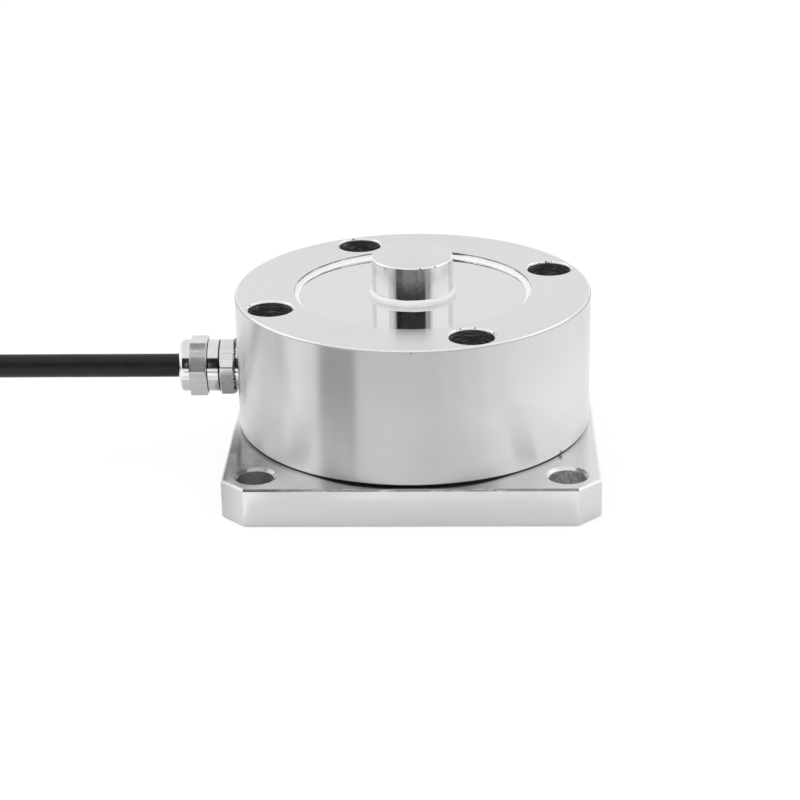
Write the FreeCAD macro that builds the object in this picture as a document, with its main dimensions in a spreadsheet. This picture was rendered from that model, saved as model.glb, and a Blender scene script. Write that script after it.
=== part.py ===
import FreeCAD
import Part
import math
import os
import Sketcher

# Low profile load cell on a square base plate, with its cable gland and fixed cable.
# The origin is the centre of the plate's underside, +Z is up and the cable leaves along -X.

# Driving dimensions in millimetres, with turns in degrees
SIZES = (
    ("base_side", 92.5, "side of the square base plate"),
    ("base_thickness", 10.0, "thickness of the base plate"),
    ("base_corner_cut", 5.8, "leg of each cut corner"),
    ("base_edge_chamfer", 0.5, "chamfer along the plate's edges"),
    ("base_hole_edge", 8.25, "corner hole's centre, in from the plate's sides"),
    ("base_hole_diameter", 9.0, "corner hole, clear of an 8 mm bolt"),
    ("base_hole_chamfer", 0.75, "chamfer at both ends of a corner hole"),
    ("body_diameter", 90.0, "outside of the spring body"),
    ("body_height", 35.0, "spring body, from its foot to its rim"),
    ("body_top_chamfer", 0.5, "chamfer round the rim"),
    ("body_foot_chamfer", 0.7, "chamfer round the foot"),
    ("cover_ledge", 3.0, "ledge outside the gauge pockets that carries the top cover"),
    ("recess_depth", 2.5, "from the rim down to the top cover"),
    ("relief_ledge", 3.0, "ledge outside the gauge pockets that carries the bottom cover"),
    ("relief_depth", 3.0, "from the foot up to the hub's underside"),
    ("hub_diameter", 28.0, "hub that the spokes carry"),
    ("pocket_diameter", 54.0, "outer wall of the gauge pockets"),
    ("spoke_width", 10.0, "width of a spoke"),
    ("pocket_corner_radius", 3.0, "upright corners of the gauge pockets"),
    ("ring_hole_wall", 1.5, "steel outside a ring hole's counterbore"),
    ("ring_hole_angle", 23.0, "turn of the first ring hole from +X"),
    ("counterbore_clearance", 0.5, "radial room round the screw's head in its counterbore"),
    ("counterbore_chamfer", 0.5, "chamfer at the counterbore's mouth"),
    ("screw_seat_height", 8.0, "steel left under the screw's head"),
    ("screw_hole_clearance", 0.3, "radial room round the screw in the ring"),
    ("screw_diameter", 6.0, "screw's thread"),
    ("screw_length", 16.0, "screw under its head"),
    ("screw_head_diameter", 10.0, "screw's round head"),
    ("screw_head_height", 6.0, "height of the head"),
    ("screw_socket_width", 5.0, "hexagon socket across its flats"),
    ("screw_socket_depth", 3.0, "depth of the socket"),
    ("thread_clearance", 0.05, "radial room between a thread and its hole"),
    ("button_diameter", 20.5, "load button"),
    ("button_height", 9.0, "button's top above the rim"),
    ("button_crown_radius", 160.0, "crown of the button's top"),
    ("button_edge_radius", 0.5, "rounding of the button's edge"),
    ("stud_diameter", 12.0, "button's threaded stud"),
    ("stud_length", 14.0, "length of the stud"),
    ("stud_hole_spare", 2.0, "room under the stud"),
    ("cover_thickness", 1.5, "top cover"),
    ("cover_button_gap", 0.5, "sealed gap between button and cover"),
    ("cover_rim_gap", 0.3, "sealed gap between cover and recess"),
    ("bottom_cover_thickness", 1.0, "bottom cover"),
    ("bottom_cover_gap", 0.1, "gap round the bottom cover"),
    ("button_seal_width", 1.0, "button seal, out from the button"),
    ("button_seal_height", 1.6, "button seal above the cover"),
    ("button_seal_bulge", 1.5, "radius of the button seal's round side"),
    ("rim_seal_width", 1.2, "rim seal, in from the recess wall"),
    ("rim_seal_drop", 0.3, "from the rim down to the rim seal"),
    ("rim_seal_hollow", 4.0, "radius of the rim seal's hollow side"),
    ("gauge_end_gap", 0.8, "from a strain gauge to each end of its spoke's flat side"),
    ("gauge_height", 6.0, "strain gauge, upright"),
    ("gauge_thickness", 0.2, "strain gauge with its coat"),
    ("board_wall_gap", 2.5, "from the board to the pocket's outer wall"),
    ("board_width", 15.0, "terminal board, across"),
    ("board_thickness", 1.6, "terminal board"),
    ("board_hub_gap", 2.5, "from the hub to the board"),
    ("resistor_length", 3.2, "chip resistor"),
    ("resistor_width", 1.6, "chip resistor"),
    ("resistor_height", 0.6, "chip resistor"),
    ("resistor_spread", 10.0, "distance between the chip resistors"),
    ("gland_height", 14.3, "gland's axis above the body's foot"),
    ("port_flat_depth", 0.5, "depth of the flat that the gland seats on"),
    ("port_flat_margin", 1.05, "flat beyond the gland's washer"),
    ("port_end_gap", 0.5, "room past the gland's shank"),
    ("port_hole_diameter", 7.0, "hole from the port into the pocket"),
    ("gland_thread_diameter", 12.0, "gland's shank in the port"),
    ("gland_thread_length", 8.5, "length of the shank in the port"),
    ("washer_width", 0.65, "gland's sealing washer, radially"),
    ("washer_thickness", 0.9, "gland's sealing washer"),
    ("hex_width", 14.0, "both hexagons across their flats"),
    ("hex_face_step", 0.2, "round face of a hexagon, in from its flats"),
    ("hex_chamfer", 0.5, "length of the corner chamfers on the gland's body"),
    ("nut_chamfer", 0.3, "length of the corner chamfer on the nut"),
    ("gland_hex_length", 4.0, "hexagon of the gland's body"),
    ("gland_hex_turn", 15.4, "turn of that hexagon's corner above the level"),
    ("nut_thread_diameter", 11.0, "thread under the nut"),
    ("nut_thread_length", 4.6, "thread under the nut"),
    ("nut_gap", 0.2, "slit between the hexagon and the nut"),
    ("nut_round_diameter", 13.4, "nut's two round ends"),
    ("nut_collar_length", 2.9, "nut's round end at the slit"),
    ("nut_hex_length", 4.5, "nut's hexagon"),
    ("nut_hex_turn", 7.7, "turn of the nut's corner above the level"),
    ("nut_end_length", 2.75, "nut's round end at the cable"),
    ("nut_end_radius", 1.2, "rounding of that end"),
    ("nut_wall", 2.5, "nut's wall round the cable"),
    ("seal_diameter", 9.2, "rubber bush in the gland"),
    ("seal_length", 7.6, "rubber bush in the gland"),
    ("seal_seat_depth", 7.2, "depth of the bush's seat"),
    ("claw_gap", 0.1, "radial room round the pressure ring"),
    ("cable_clearance", 0.3, "radial room round the cable in the gland"),
    ("jacket_inset", 2.0, "from the shank's end to the cable's jacket"),
    ("cable_diameter", 6.0, "cable"),
    ("core_diameter", 1.3, "insulated core"),
    ("core_spacing", 2.2, "distance between cores in the cable"),
    ("coil_mid_radius", 37.5, "middle of the coil's turns"),
    ("coil_slack", 0.1, "room round the coil's turns"),
    ("coil_chamfer", 1.5, "cut corners of the coil's section"),
    ("coil_lead", 24.0, "straight lead in and out of the coil"),
    ("tie_width", 4.0, "tie round the coil"),
    ("tie_thickness", 1.0, "tie round the coil"),
    ("tie_angle", 215.0, "place of the tie on the coil"),
)

# Counts and directions
SPOKES = 4
RING_HOLES = 4
BASE_HOLES = 4
HEX_CORNERS = 6
COIL_COLUMNS = 3
COIL_LAYERS = 4
PORT_ANGLE = 180

# Cable's route in plan: its points before the coil, where it meets the coil's lead, and steps of its tail
CABLE_POINTS = ((-124, 0), (-165, 43.5))
COIL_ENTRY = (-195, 43.5)
TAIL_STEPS = ((16, 0), (34, 5), (48, 13))

# Each core: its side and height in the cable in half spacings, and how far its free end spreads
CORES = (("red", -1, -1, -9.0), ("green", -1, 1, -4.5), ("white", 1, 1, 4.5), ("black", 1, -1, 9.0))
SCREEN = ("screen", 0, 0, 0.5)
CORE_STEPS = (9.0, 19.0, 30.0)
CORE_SHARES = (0.0, 0.4, 1.0)

# Share of the shorter run that an arc of a cord takes up, the share by which a swept volume may be out,
# and the slack in comparisons of lengths and volumes
ARC_SHARE = 0.45
SWEEP_SHARE = 0.01
TOLERANCE = 1e-4

# Levels and radii that several pieces share, as expressions of the driving dimensions
BASE_TOP = "sizes.base_thickness"
RIM = f"({BASE_TOP} + sizes.body_height)"
COVER_TOP = f"({RIM} - sizes.recess_depth)"
HUB_TOP = f"({COVER_TOP} - sizes.cover_thickness)"
HUB_FOOT = f"({BASE_TOP} + sizes.relief_depth)"
BUTTON_TOP = f"({RIM} + sizes.button_height)"
SCREW_SEAT = f"({BASE_TOP} + sizes.screw_seat_height)"
BODY_RADIUS = "(sizes.body_diameter / 2)"
HUB_RADIUS = "(sizes.hub_diameter / 2)"
POCKET_RADIUS = "(sizes.pocket_diameter / 2)"
RECESS_RADIUS = f"({POCKET_RADIUS} + sizes.cover_ledge)"
RELIEF_RADIUS = f"({POCKET_RADIUS} + sizes.relief_ledge)"
BUTTON_RADIUS = "(sizes.button_diameter / 2)"
SPOKE_HALF = "(sizes.spoke_width / 2)"
COUNTERBORE_RADIUS = "(sizes.screw_head_diameter / 2 + sizes.counterbore_clearance)"
RING_HOLE_PLACE = f"({BODY_RADIUS} - sizes.ring_hole_wall - {COUNTERBORE_RADIUS})"
RING_HOLE_X = f"({RING_HOLE_PLACE} * cos(sizes.ring_hole_angle * 1 deg))"
RING_HOLE_Y = f"({RING_HOLE_PLACE} * sin(sizes.ring_hole_angle * 1 deg))"
BOARD_LENGTH = f"({POCKET_RADIUS} - {HUB_RADIUS} - sizes.board_hub_gap - sizes.board_wall_gap)"

# Stations along the gland's axis, outwards from the body's centre
GLAND_LEVEL = f"({BASE_TOP} + sizes.gland_height)"
PORT_FLAT = f"({BODY_RADIUS} - sizes.port_flat_depth)"
SHANK_END = f"({PORT_FLAT} - sizes.gland_thread_length)"
HEX_START = f"({PORT_FLAT} + sizes.washer_thickness)"
HEX_END = f"({HEX_START} + sizes.gland_hex_length)"
THREAD_END = f"({HEX_END} + sizes.nut_thread_length)"
SEAL_SEAT = f"({THREAD_END} - sizes.seal_seat_depth)"
SEAL_END = f"({SEAL_SEAT} + sizes.seal_length)"
NUT_START = f"({HEX_END} + sizes.nut_gap)"
COLLAR_END = f"({NUT_START} + sizes.nut_collar_length)"
NUT_HEX_END = f"({COLLAR_END} + sizes.nut_hex_length)"
NUT_END = f"({NUT_HEX_END} + sizes.nut_end_length)"
CLAW_END = f"({NUT_END} - sizes.nut_wall)"
JACKET_START = f"({SHANK_END} + sizes.jacket_inset)"
CABLE_RADIUS = "(sizes.cable_diameter / 2)"
CABLE_BORE = f"({CABLE_RADIUS} + sizes.cable_clearance)"
HEX_CORNER_RADIUS = "(sizes.hex_width / sqrt(3))"
HEX_FACE_RADIUS = "(sizes.hex_width / 2 - sizes.hex_face_step)"
SHANK_RADIUS = "(sizes.gland_thread_diameter / 2)"
SHANK_BORE = f"({SHANK_RADIUS} + sizes.thread_clearance)"
WASHER_RADIUS = f"({SHANK_BORE} + sizes.washer_width)"

doc = FreeCAD.newDocument("low_profile_load_cell")
sheet = doc.addObject("Spreadsheet::Sheet", "sizes")
sheet.Label = "driving dimensions"
for row, (alias, amount, meaning) in enumerate(SIZES, 1):
    sheet.set(f"A{row}", meaning)
    sheet.set(f"B{row}", str(amount))
    sheet.setAlias(f"B{row}", alias)
doc.recompute()

nodes = []


def number(expression):
    """Work out an expression of the driving dimensions."""
    return float(sheet.evalExpression(expression))


def keep(piece, label):
    """Name a finished sub-part and list it for its own file."""
    piece.Label = label
    nodes.append(piece)
    return piece


def new_body(label):
    """Start a sub-part that is built up from sketches."""
    return keep(doc.addObject("PartDesign::Body", label), label)


def new_sketch(body, name, role, lift="0"):
    """Put a sketch on one of the body's own planes, lifted along its normal."""
    plane = next(item for item in body.Origin.OriginFeatures if item.Role == role)
    sketch = body.newObject("Sketcher::SketchObject", name)
    sketch.AttachmentSupport = (plane, "")
    sketch.MapMode = "FlatFace"
    sketch.setExpression("AttachmentOffset.Base.z", lift)
    return sketch


def bind(sketch, constraint, expression):
    """Add a constraint whose value follows an expression."""
    index = sketch.addConstraint(constraint)
    sketch.setExpression(f"Constraints[{index}]", expression)


def arc_between(start, end, turn, radius):
    """Arc shorter than a half circle from start to end, turning ccw or cw."""
    chord = end - start
    side = FreeCAD.Vector(-chord.y, chord.x, 0).normalize()
    reach = math.sqrt(radius ** 2 - (chord.Length / 2) ** 2)
    centre = start + chord / 2 + side * (reach if turn == "ccw" else -reach)
    first, last = (start, end) if turn == "ccw" else (end, start)
    angles = [math.atan2(point.y - centre.y, point.x - centre.x) for point in (first, last)]
    if angles[1] < angles[0]:
        angles[1] += 2 * math.pi
    return Part.ArcOfCircle(Part.Circle(centre, FreeCAD.Vector(0, 0, 1), radius), *angles)


def add_loop(sketch, corners):
    """Draw a closed loop through corners of expressions (x, y) or (x, y, turn, radius).

    With a turn, the side that leaves the corner is an arc of that radius.
    """
    places = [FreeCAD.Vector(number(corner[0]), number(corner[1]), 0) for corner in corners]
    sides = []
    for index, corner in enumerate(corners):
        start = places[index]
        end = places[(index + 1) % len(places)]
        if len(corner) == 2:
            side = sketch.addGeometry(Part.LineSegment(start, end), False)
            sides.append((side, 1, 2))
            continue
        turn, radius = corner[2:]
        side = sketch.addGeometry(arc_between(start, end, turn, number(radius)), False)
        bind(sketch, Sketcher.Constraint("Radius", side, number(radius)), radius)
        sides.append((side, 1, 2) if turn == "ccw" else (side, 2, 1))
    for index, (side, first, last) in enumerate(sides):
        before = sides[index - 1]
        place = places[index]
        sketch.addConstraint(Sketcher.Constraint("Coincident", before[0], before[2], side, first))
        bind(sketch, Sketcher.Constraint("DistanceX", -1, 1, side, first, place.x), corners[index][0])
        bind(sketch, Sketcher.Constraint("DistanceY", -1, 1, side, first, place.y), corners[index][1])


def add_circle(sketch, across, up, radius):
    """Draw a circle whose place and radius follow expressions."""
    centre = FreeCAD.Vector(number(across), number(up), 0)
    circle = sketch.addGeometry(Part.Circle(centre, FreeCAD.Vector(0, 0, 1), number(radius)), False)
    bind(sketch, Sketcher.Constraint("Radius", circle, number(radius)), radius)
    bind(sketch, Sketcher.Constraint("DistanceX", -1, 1, circle, 3, centre.x), across)
    bind(sketch, Sketcher.Constraint("DistanceY", -1, 1, circle, 3, centre.y), up)


def turn_profile(body, name, corners, axis="V_Axis"):
    """Revolve a profile drawn in the body's XZ plane."""
    sketch = new_sketch(body, f"{name}_profile", "XZ_Plane")
    add_loop(sketch, corners)
    turned = body.newObject("PartDesign::Revolution", name)
    turned.Profile = sketch
    turned.ReferenceAxis = (sketch, [axis])
    turned.Angle = 360
    doc.recompute()
    return turned


def expect_less(body, before, name):
    """Stop if a cut took nothing away."""
    if body.Shape.Volume > before - TOLERANCE:
        raise RuntimeError(f"{name} cut nothing")


def cut(body, name, sketch, depth=None):
    """Pocket a sketch against its normal, to a depth or right through."""
    before = body.Shape.Volume
    pocket = body.newObject("PartDesign::Pocket", name)
    pocket.Profile = sketch
    if depth is None:
        pocket.Type = "ThroughAll"
    else:
        pocket.setExpression("Length", depth)
    doc.recompute()
    expect_less(body, before, name)
    return pocket


def repeat_round(body, name, features, sketch, count):
    """Repeat features evenly round the Z axis."""
    pattern = body.newObject("PartDesign::PolarPattern", name)
    pattern.Originals = features
    pattern.Axis = (sketch, ["N_Axis"])
    pattern.Angle = 360
    pattern.Occurrences = count
    body.Tip = pattern
    doc.recompute()
    return pattern


def dress_edges(body, kind, name, base, test, amount):
    """Chamfer or fillet each edge of the base feature that passes a test."""
    numbered = enumerate(base.Shape.Edges, 1)
    edges = [f"Edge{index}" for index, edge in numbered if not edge.Degenerated and test(edge)]
    dressing = body.newObject(f"PartDesign::{kind}", name)
    dressing.Base = (base, edges)
    dressing.setExpression("Size" if kind == "Chamfer" else "Radius", amount)
    doc.recompute()
    return dressing


def is_round(edge, radius):
    """Tell whether an edge is a circle of a radius."""
    return isinstance(edge.Curve, Part.Circle) and abs(edge.Curve.Radius - radius) < TOLERANCE


def is_flat_line(edge):
    """Tell whether an edge is straight and level."""
    return isinstance(edge.Curve, Part.Line) and edge.BoundBox.ZLength < TOLERANCE


def make_base_plate():
    """Square plate with cut corners, corner holes and tapped holes for the body's screws."""
    body = new_body("base_plate")
    half = "(sizes.base_side / 2)"
    cut_start = f"({half} - sizes.base_corner_cut)"
    outline = new_sketch(body, "plate_outline", "XY_Plane")
    add_loop(outline, [
        (half, f"-{cut_start}"), (half, cut_start), (cut_start, half), (f"-{cut_start}", half),
        (f"-{half}", cut_start), (f"-{half}", f"-{cut_start}"),
        (f"-{cut_start}", f"-{half}"), (cut_start, f"-{half}"),
    ])
    plate = body.newObject("PartDesign::Pad", "plate")
    plate.Profile = outline
    plate.setExpression("Length", BASE_TOP)
    doc.recompute()
    dress_edges(body, "Chamfer", "plate_edges", plate, is_flat_line, "sizes.base_edge_chamfer")
    corner = f"({half} - sizes.base_hole_edge)"
    corner_mark = new_sketch(body, "corner_hole_mark", "XY_Plane", BASE_TOP)
    add_circle(corner_mark, corner, corner, "sizes.base_hole_diameter / 2")
    corner_hole = cut(body, "corner_hole", corner_mark)
    corners = repeat_round(body, "corner_holes", [corner_hole], corner_mark, BASE_HOLES)
    corner_radius = number("sizes.base_hole_diameter / 2")
    dress_edges(
        body, "Chamfer", "corner_hole_rims", corners,
        lambda edge: is_round(edge, corner_radius), "sizes.base_hole_chamfer")
    tapped_mark = new_sketch(body, "tapped_hole_mark", "XY_Plane", BASE_TOP)
    add_circle(tapped_mark, RING_HOLE_X, RING_HOLE_Y, "sizes.screw_diameter / 2 + sizes.thread_clearance")
    tapped_hole = cut(body, "tapped_hole", tapped_mark)
    repeat_round(body, "tapped_holes", [tapped_hole], tapped_mark, RING_HOLES)


def pocket_corner(radius):
    """Angle from a pocket's middle to where a spoke's side meets a radius."""
    return f"({180 / SPOKES} deg - asin({SPOKE_HALF} / {radius}))"


def make_spring_body():
    """Ring, spokes and hub in one piece, with the screw counterbores and the gland's port."""
    body = new_body("spring_body")
    stud_hole = "sizes.stud_diameter / 2 + sizes.thread_clearance"
    stud_floor = f"{HUB_TOP} - sizes.stud_length - sizes.stud_hole_spare"
    turn_profile(body, "drum", [
        ("0", HUB_FOOT), (RELIEF_RADIUS, HUB_FOOT), (RELIEF_RADIUS, BASE_TOP),
        (f"{BODY_RADIUS} - sizes.body_foot_chamfer", BASE_TOP),
        (BODY_RADIUS, f"{BASE_TOP} + sizes.body_foot_chamfer"),
        (BODY_RADIUS, f"{RIM} - sizes.body_top_chamfer"),
        (f"{BODY_RADIUS} - sizes.body_top_chamfer", RIM),
        (RECESS_RADIUS, RIM), (RECESS_RADIUS, HUB_TOP),
        (stud_hole, HUB_TOP), (stud_hole, stud_floor), ("0", stud_floor),
    ])
    inner = pocket_corner(HUB_RADIUS)
    outer = pocket_corner(POCKET_RADIUS)
    pocket_mark = new_sketch(body, "gauge_pocket_mark", "XY_Plane", RIM)
    add_loop(pocket_mark, [
        (f"-{HUB_RADIUS} * cos({inner})", f"{HUB_RADIUS} * sin({inner})"),
        (f"-{POCKET_RADIUS} * cos({outer})", f"{POCKET_RADIUS} * sin({outer})", "ccw", POCKET_RADIUS),
        (f"-{POCKET_RADIUS} * cos({outer})", f"-{POCKET_RADIUS} * sin({outer})"),
        (f"-{HUB_RADIUS} * cos({inner})", f"-{HUB_RADIUS} * sin({inner})", "cw", HUB_RADIUS),
    ])
    gauge_pocket = cut(body, "gauge_pocket", pocket_mark)
    pockets = repeat_round(body, "gauge_pockets", [gauge_pocket], pocket_mark, SPOKES)
    corner_radii = (number(HUB_RADIUS), number(POCKET_RADIUS))

    def is_pocket_corner(edge):
        if not isinstance(edge.Curve, Part.Line) or is_flat_line(edge):
            return False
        place = edge.CenterOfMass
        return any(abs(math.hypot(place.x, place.y) - radius) < TOLERANCE for radius in corner_radii)

    dress_edges(
        body, "Fillet", "gauge_pocket_corners", pockets, is_pocket_corner, "sizes.pocket_corner_radius")
    cut_gland_port(body)
    bore_mark = new_sketch(body, "counterbore_mark", "XY_Plane", RIM)
    add_circle(bore_mark, RING_HOLE_X, RING_HOLE_Y, COUNTERBORE_RADIUS)
    counterbore = cut(body, "counterbore", bore_mark, "sizes.body_height - sizes.screw_seat_height")
    hole_mark = new_sketch(body, "screw_hole_mark", "XY_Plane", RIM)
    screw_room = "sizes.screw_diameter / 2 + sizes.screw_hole_clearance"
    add_circle(hole_mark, RING_HOLE_X, RING_HOLE_Y, screw_room)
    screw_hole = cut(body, "screw_hole", hole_mark)
    holes = repeat_round(body, "ring_holes", [counterbore, screw_hole], bore_mark, RING_HOLES)
    bore_radius = number(COUNTERBORE_RADIUS)
    rim = number(RIM)
    dress_edges(
        body, "Chamfer", "ring_hole_mouths", holes,
        lambda edge: is_round(edge, bore_radius) and abs(edge.CenterOfMass.z - rim) < TOLERANCE,
        "sizes.counterbore_chamfer")


def cut_gland_port(body):
    """Flat, tapped port and cable hole, turned about the gland's axis."""
    sketch = new_sketch(body, "gland_port_profile", "XZ_Plane")
    sketch.setExpression("AttachmentOffset.Base.y", GLAND_LEVEL)
    hole = "sizes.port_hole_diameter / 2"
    flat = f"{WASHER_RADIUS} + sizes.port_flat_margin"
    pocket_middle = f"-({HUB_RADIUS} + {POCKET_RADIUS}) / 2"
    thread_floor = f"-({SHANK_END} - sizes.port_end_gap)"
    outside = f"-({BODY_RADIUS} + sizes.port_flat_depth)"
    add_loop(sketch, [
        (pocket_middle, "0"), (pocket_middle, hole), (thread_floor, hole),
        (thread_floor, SHANK_BORE), (f"-{PORT_FLAT}", SHANK_BORE), (f"-{PORT_FLAT}", flat),
        (outside, flat), (outside, "0"),
    ])
    before = body.Shape.Volume
    port = body.newObject("PartDesign::Groove", "gland_port")
    port.Profile = sketch
    port.ReferenceAxis = (sketch, ["H_Axis"])
    port.Angle = 360
    doc.recompute()
    expect_less(body, before, "gland_port")


def make_base_screws():
    """Socket head screws at the bottom of the ring's holes."""
    body = new_body("base_screws")
    body.AllowCompound = True
    shank_mark = new_sketch(body, "screw_shank_mark", "XY_Plane", SCREW_SEAT)
    add_circle(shank_mark, RING_HOLE_X, RING_HOLE_Y, "sizes.screw_diameter / 2")
    shank = body.newObject("PartDesign::Pad", "screw_shank")
    shank.Profile = shank_mark
    shank.Reversed = True
    shank.setExpression("Length", "sizes.screw_length")
    doc.recompute()
    head_mark = new_sketch(body, "screw_head_mark", "XY_Plane", SCREW_SEAT)
    add_circle(head_mark, RING_HOLE_X, RING_HOLE_Y, "sizes.screw_head_diameter / 2")
    head = body.newObject("PartDesign::Pad", "screw_head")
    head.Profile = head_mark
    head.setExpression("Length", "sizes.screw_head_height")
    doc.recompute()
    head_top = f"{SCREW_SEAT} + sizes.screw_head_height"
    socket_mark = new_sketch(body, "screw_socket_mark", "XY_Plane", head_top)
    add_loop(socket_mark, hexagon("sizes.screw_socket_width", "0", RING_HOLE_X, RING_HOLE_Y))
    socket = cut(body, "screw_socket", socket_mark, "sizes.screw_socket_depth")
    repeat_round(body, "screws", [shank, head, socket], shank_mark, RING_HOLES)


def hexagon(width, turn, across="0", up="0"):
    """Corners of a hexagon of a width across its flats, about a point."""
    corners = []
    for index in range(HEX_CORNERS):
        angle = f"({index * 360 / HEX_CORNERS} deg + {turn} * 1 deg)"
        radius = f"{width} / sqrt(3)"
        corners.append((f"{across} + {radius} * cos({angle})", f"{up} + {radius} * sin({angle})"))
    return corners


def make_load_button():
    """Crowned button with a rounded edge and a stud that screws into the hub."""
    crown = "sizes.button_crown_radius"
    edge = "sizes.button_edge_radius"
    crown_centre = f"({BUTTON_TOP} - {crown})"
    edge_place = f"({BUTTON_RADIUS} - {edge})"
    edge_rise = f"sqrt(pow({crown} - {edge}; 2) - pow({edge_place}; 2))"
    blend = f"({crown} / ({crown} - {edge}))"
    stud = "sizes.stud_diameter / 2"
    stud_foot = f"{HUB_TOP} - sizes.stud_length"
    turn_profile(new_body("load_button"), "button", [
        ("0", stud_foot), (stud, stud_foot), (stud, HUB_TOP), (BUTTON_RADIUS, HUB_TOP),
        (BUTTON_RADIUS, f"{crown_centre} + {edge_rise}", "ccw", edge),
        (f"{edge_place} * {blend}", f"{crown_centre} + {edge_rise} * {blend}", "ccw", crown),
        ("0", BUTTON_TOP),
    ])


def make_covers():
    """Polished top cover and thin bottom cover that close the gauge pockets."""
    bore = f"{BUTTON_RADIUS} + sizes.cover_button_gap"
    edge = f"{RECESS_RADIUS} - sizes.cover_rim_gap"
    turn_profile(new_body("top_cover"), "top_plate", [
        (bore, HUB_TOP), (edge, HUB_TOP), (edge, COVER_TOP), (bore, COVER_TOP),
    ])
    underside = f"{HUB_FOOT} - sizes.bottom_cover_thickness"
    edge = f"{RELIEF_RADIUS} - sizes.bottom_cover_gap"
    turn_profile(new_body("bottom_cover"), "bottom_plate", [
        ("0", underside), (edge, underside), (edge, HUB_FOOT), ("0", HUB_FOOT),
    ])


def make_seals():
    """White sealant in the two ring-shaped gaps round the top cover."""
    gap = f"{BUTTON_RADIUS} + sizes.cover_button_gap"
    turn_profile(new_body("button_seal"), "button_bead", [
        (BUTTON_RADIUS, HUB_TOP), (gap, HUB_TOP), (gap, COVER_TOP),
        (f"{BUTTON_RADIUS} + sizes.button_seal_width", COVER_TOP, "ccw", "sizes.button_seal_bulge"),
        (BUTTON_RADIUS, f"{COVER_TOP} + sizes.button_seal_height"),
    ])
    gap = f"{RECESS_RADIUS} - sizes.cover_rim_gap"
    turn_profile(new_body("rim_seal"), "rim_bead", [
        (gap, HUB_TOP), (RECESS_RADIUS, HUB_TOP),
        (RECESS_RADIUS, f"{RIM} - sizes.rim_seal_drop", "cw", "sizes.rim_seal_hollow"),
        (f"{RECESS_RADIUS} - sizes.rim_seal_width", COVER_TOP), (gap, COVER_TOP),
    ])


def add_box(name, length, width, height):
    """Box whose sides follow expressions."""
    box = doc.addObject("Part::Box", name)
    box.setExpression("Length", length)
    box.setExpression("Width", width)
    box.setExpression("Height", height)
    return box


def place_by(piece, across, along, up):
    """Tie a piece's place to expressions."""
    piece.setExpression("Placement.Base.x", across)
    piece.setExpression("Placement.Base.y", along)
    piece.setExpression("Placement.Base.z", up)


def make_strain_gauges():
    """Foil gauges bonded to the middle of both sides of each spoke."""
    corner = "sizes.pocket_corner_radius"
    offset = f"pow({SPOKE_HALF} + {corner}; 2)"
    flat_start = f"sqrt(pow({HUB_RADIUS} + {corner}; 2) - {offset})"
    flat_end = f"sqrt(pow({POCKET_RADIUS} - {corner}; 2) - {offset})"
    start = f"({flat_start} + sizes.gauge_end_gap)"
    length = f"({flat_end} - {flat_start} - 2 * sizes.gauge_end_gap)"
    foot = f"({HUB_FOOT} + {HUB_TOP} - sizes.gauge_height) / 2"
    for spoke in range(SPOKES):
        angle = PORT_ANGLE + (spoke + 0.5) * 360 / SPOKES
        for side, near in enumerate((SPOKE_HALF, f"(-{SPOKE_HALF} - sizes.gauge_thickness)")):
            label = f"strain_gauge_{2 * spoke + side + 1}"
            gauge = add_box(label, length, "sizes.gauge_thickness", "sizes.gauge_height")
            gauge.Placement.Rotation = FreeCAD.Rotation(FreeCAD.Vector(0, 0, 1), angle)
            place_by(
                gauge, f"{start} * cos({angle} deg) - {near} * sin({angle} deg)",
                f"{start} * sin({angle} deg) + {near} * cos({angle} deg)", foot)
            keep(gauge, label)


def make_terminal_board():
    """Board on the bottom cover with two chip resistors."""
    board_edge = f"(-{POCKET_RADIUS} + sizes.board_wall_gap)"
    board = add_box("terminal_board", BOARD_LENGTH, "sizes.board_width", "sizes.board_thickness")
    place_by(board, board_edge, "-sizes.board_width / 2", HUB_FOOT)
    keep(board, "terminal_board")
    chips = []
    for side in (-1, 1):
        chip = add_box(
            f"chip_{side + 2}", "sizes.resistor_length", "sizes.resistor_width", "sizes.resistor_height")
        place_by(
            chip, f"{board_edge} + ({BOARD_LENGTH} - sizes.resistor_length) / 2",
            f"({side} * sizes.resistor_spread - sizes.resistor_width) / 2",
            f"{HUB_FOOT} + sizes.board_thickness")
        chips.append(chip)
    pair = doc.addObject("Part::Compound", "trim_resistors")
    pair.Links = chips
    keep(pair, "trim_resistors")


def gland_body_frame(label):
    """Start a gland piece whose own X axis points out along the gland."""
    body = new_body(label)
    body.Placement.Rotation = FreeCAD.Rotation(FreeCAD.Vector(0, 0, 1), PORT_ANGLE)
    body.setExpression("Placement.Base.z", GLAND_LEVEL)
    return body


def cut_flats(body, name, end, length, turn):
    """Cut six flats along a stretch of a turned blank."""
    sketch = new_sketch(body, f"{name}_mark", "YZ_Plane", end)
    add_circle(sketch, "0", "0", "sizes.hex_width")
    add_loop(sketch, hexagon("sizes.hex_width", turn))
    cut(body, name, sketch, length)


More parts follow.
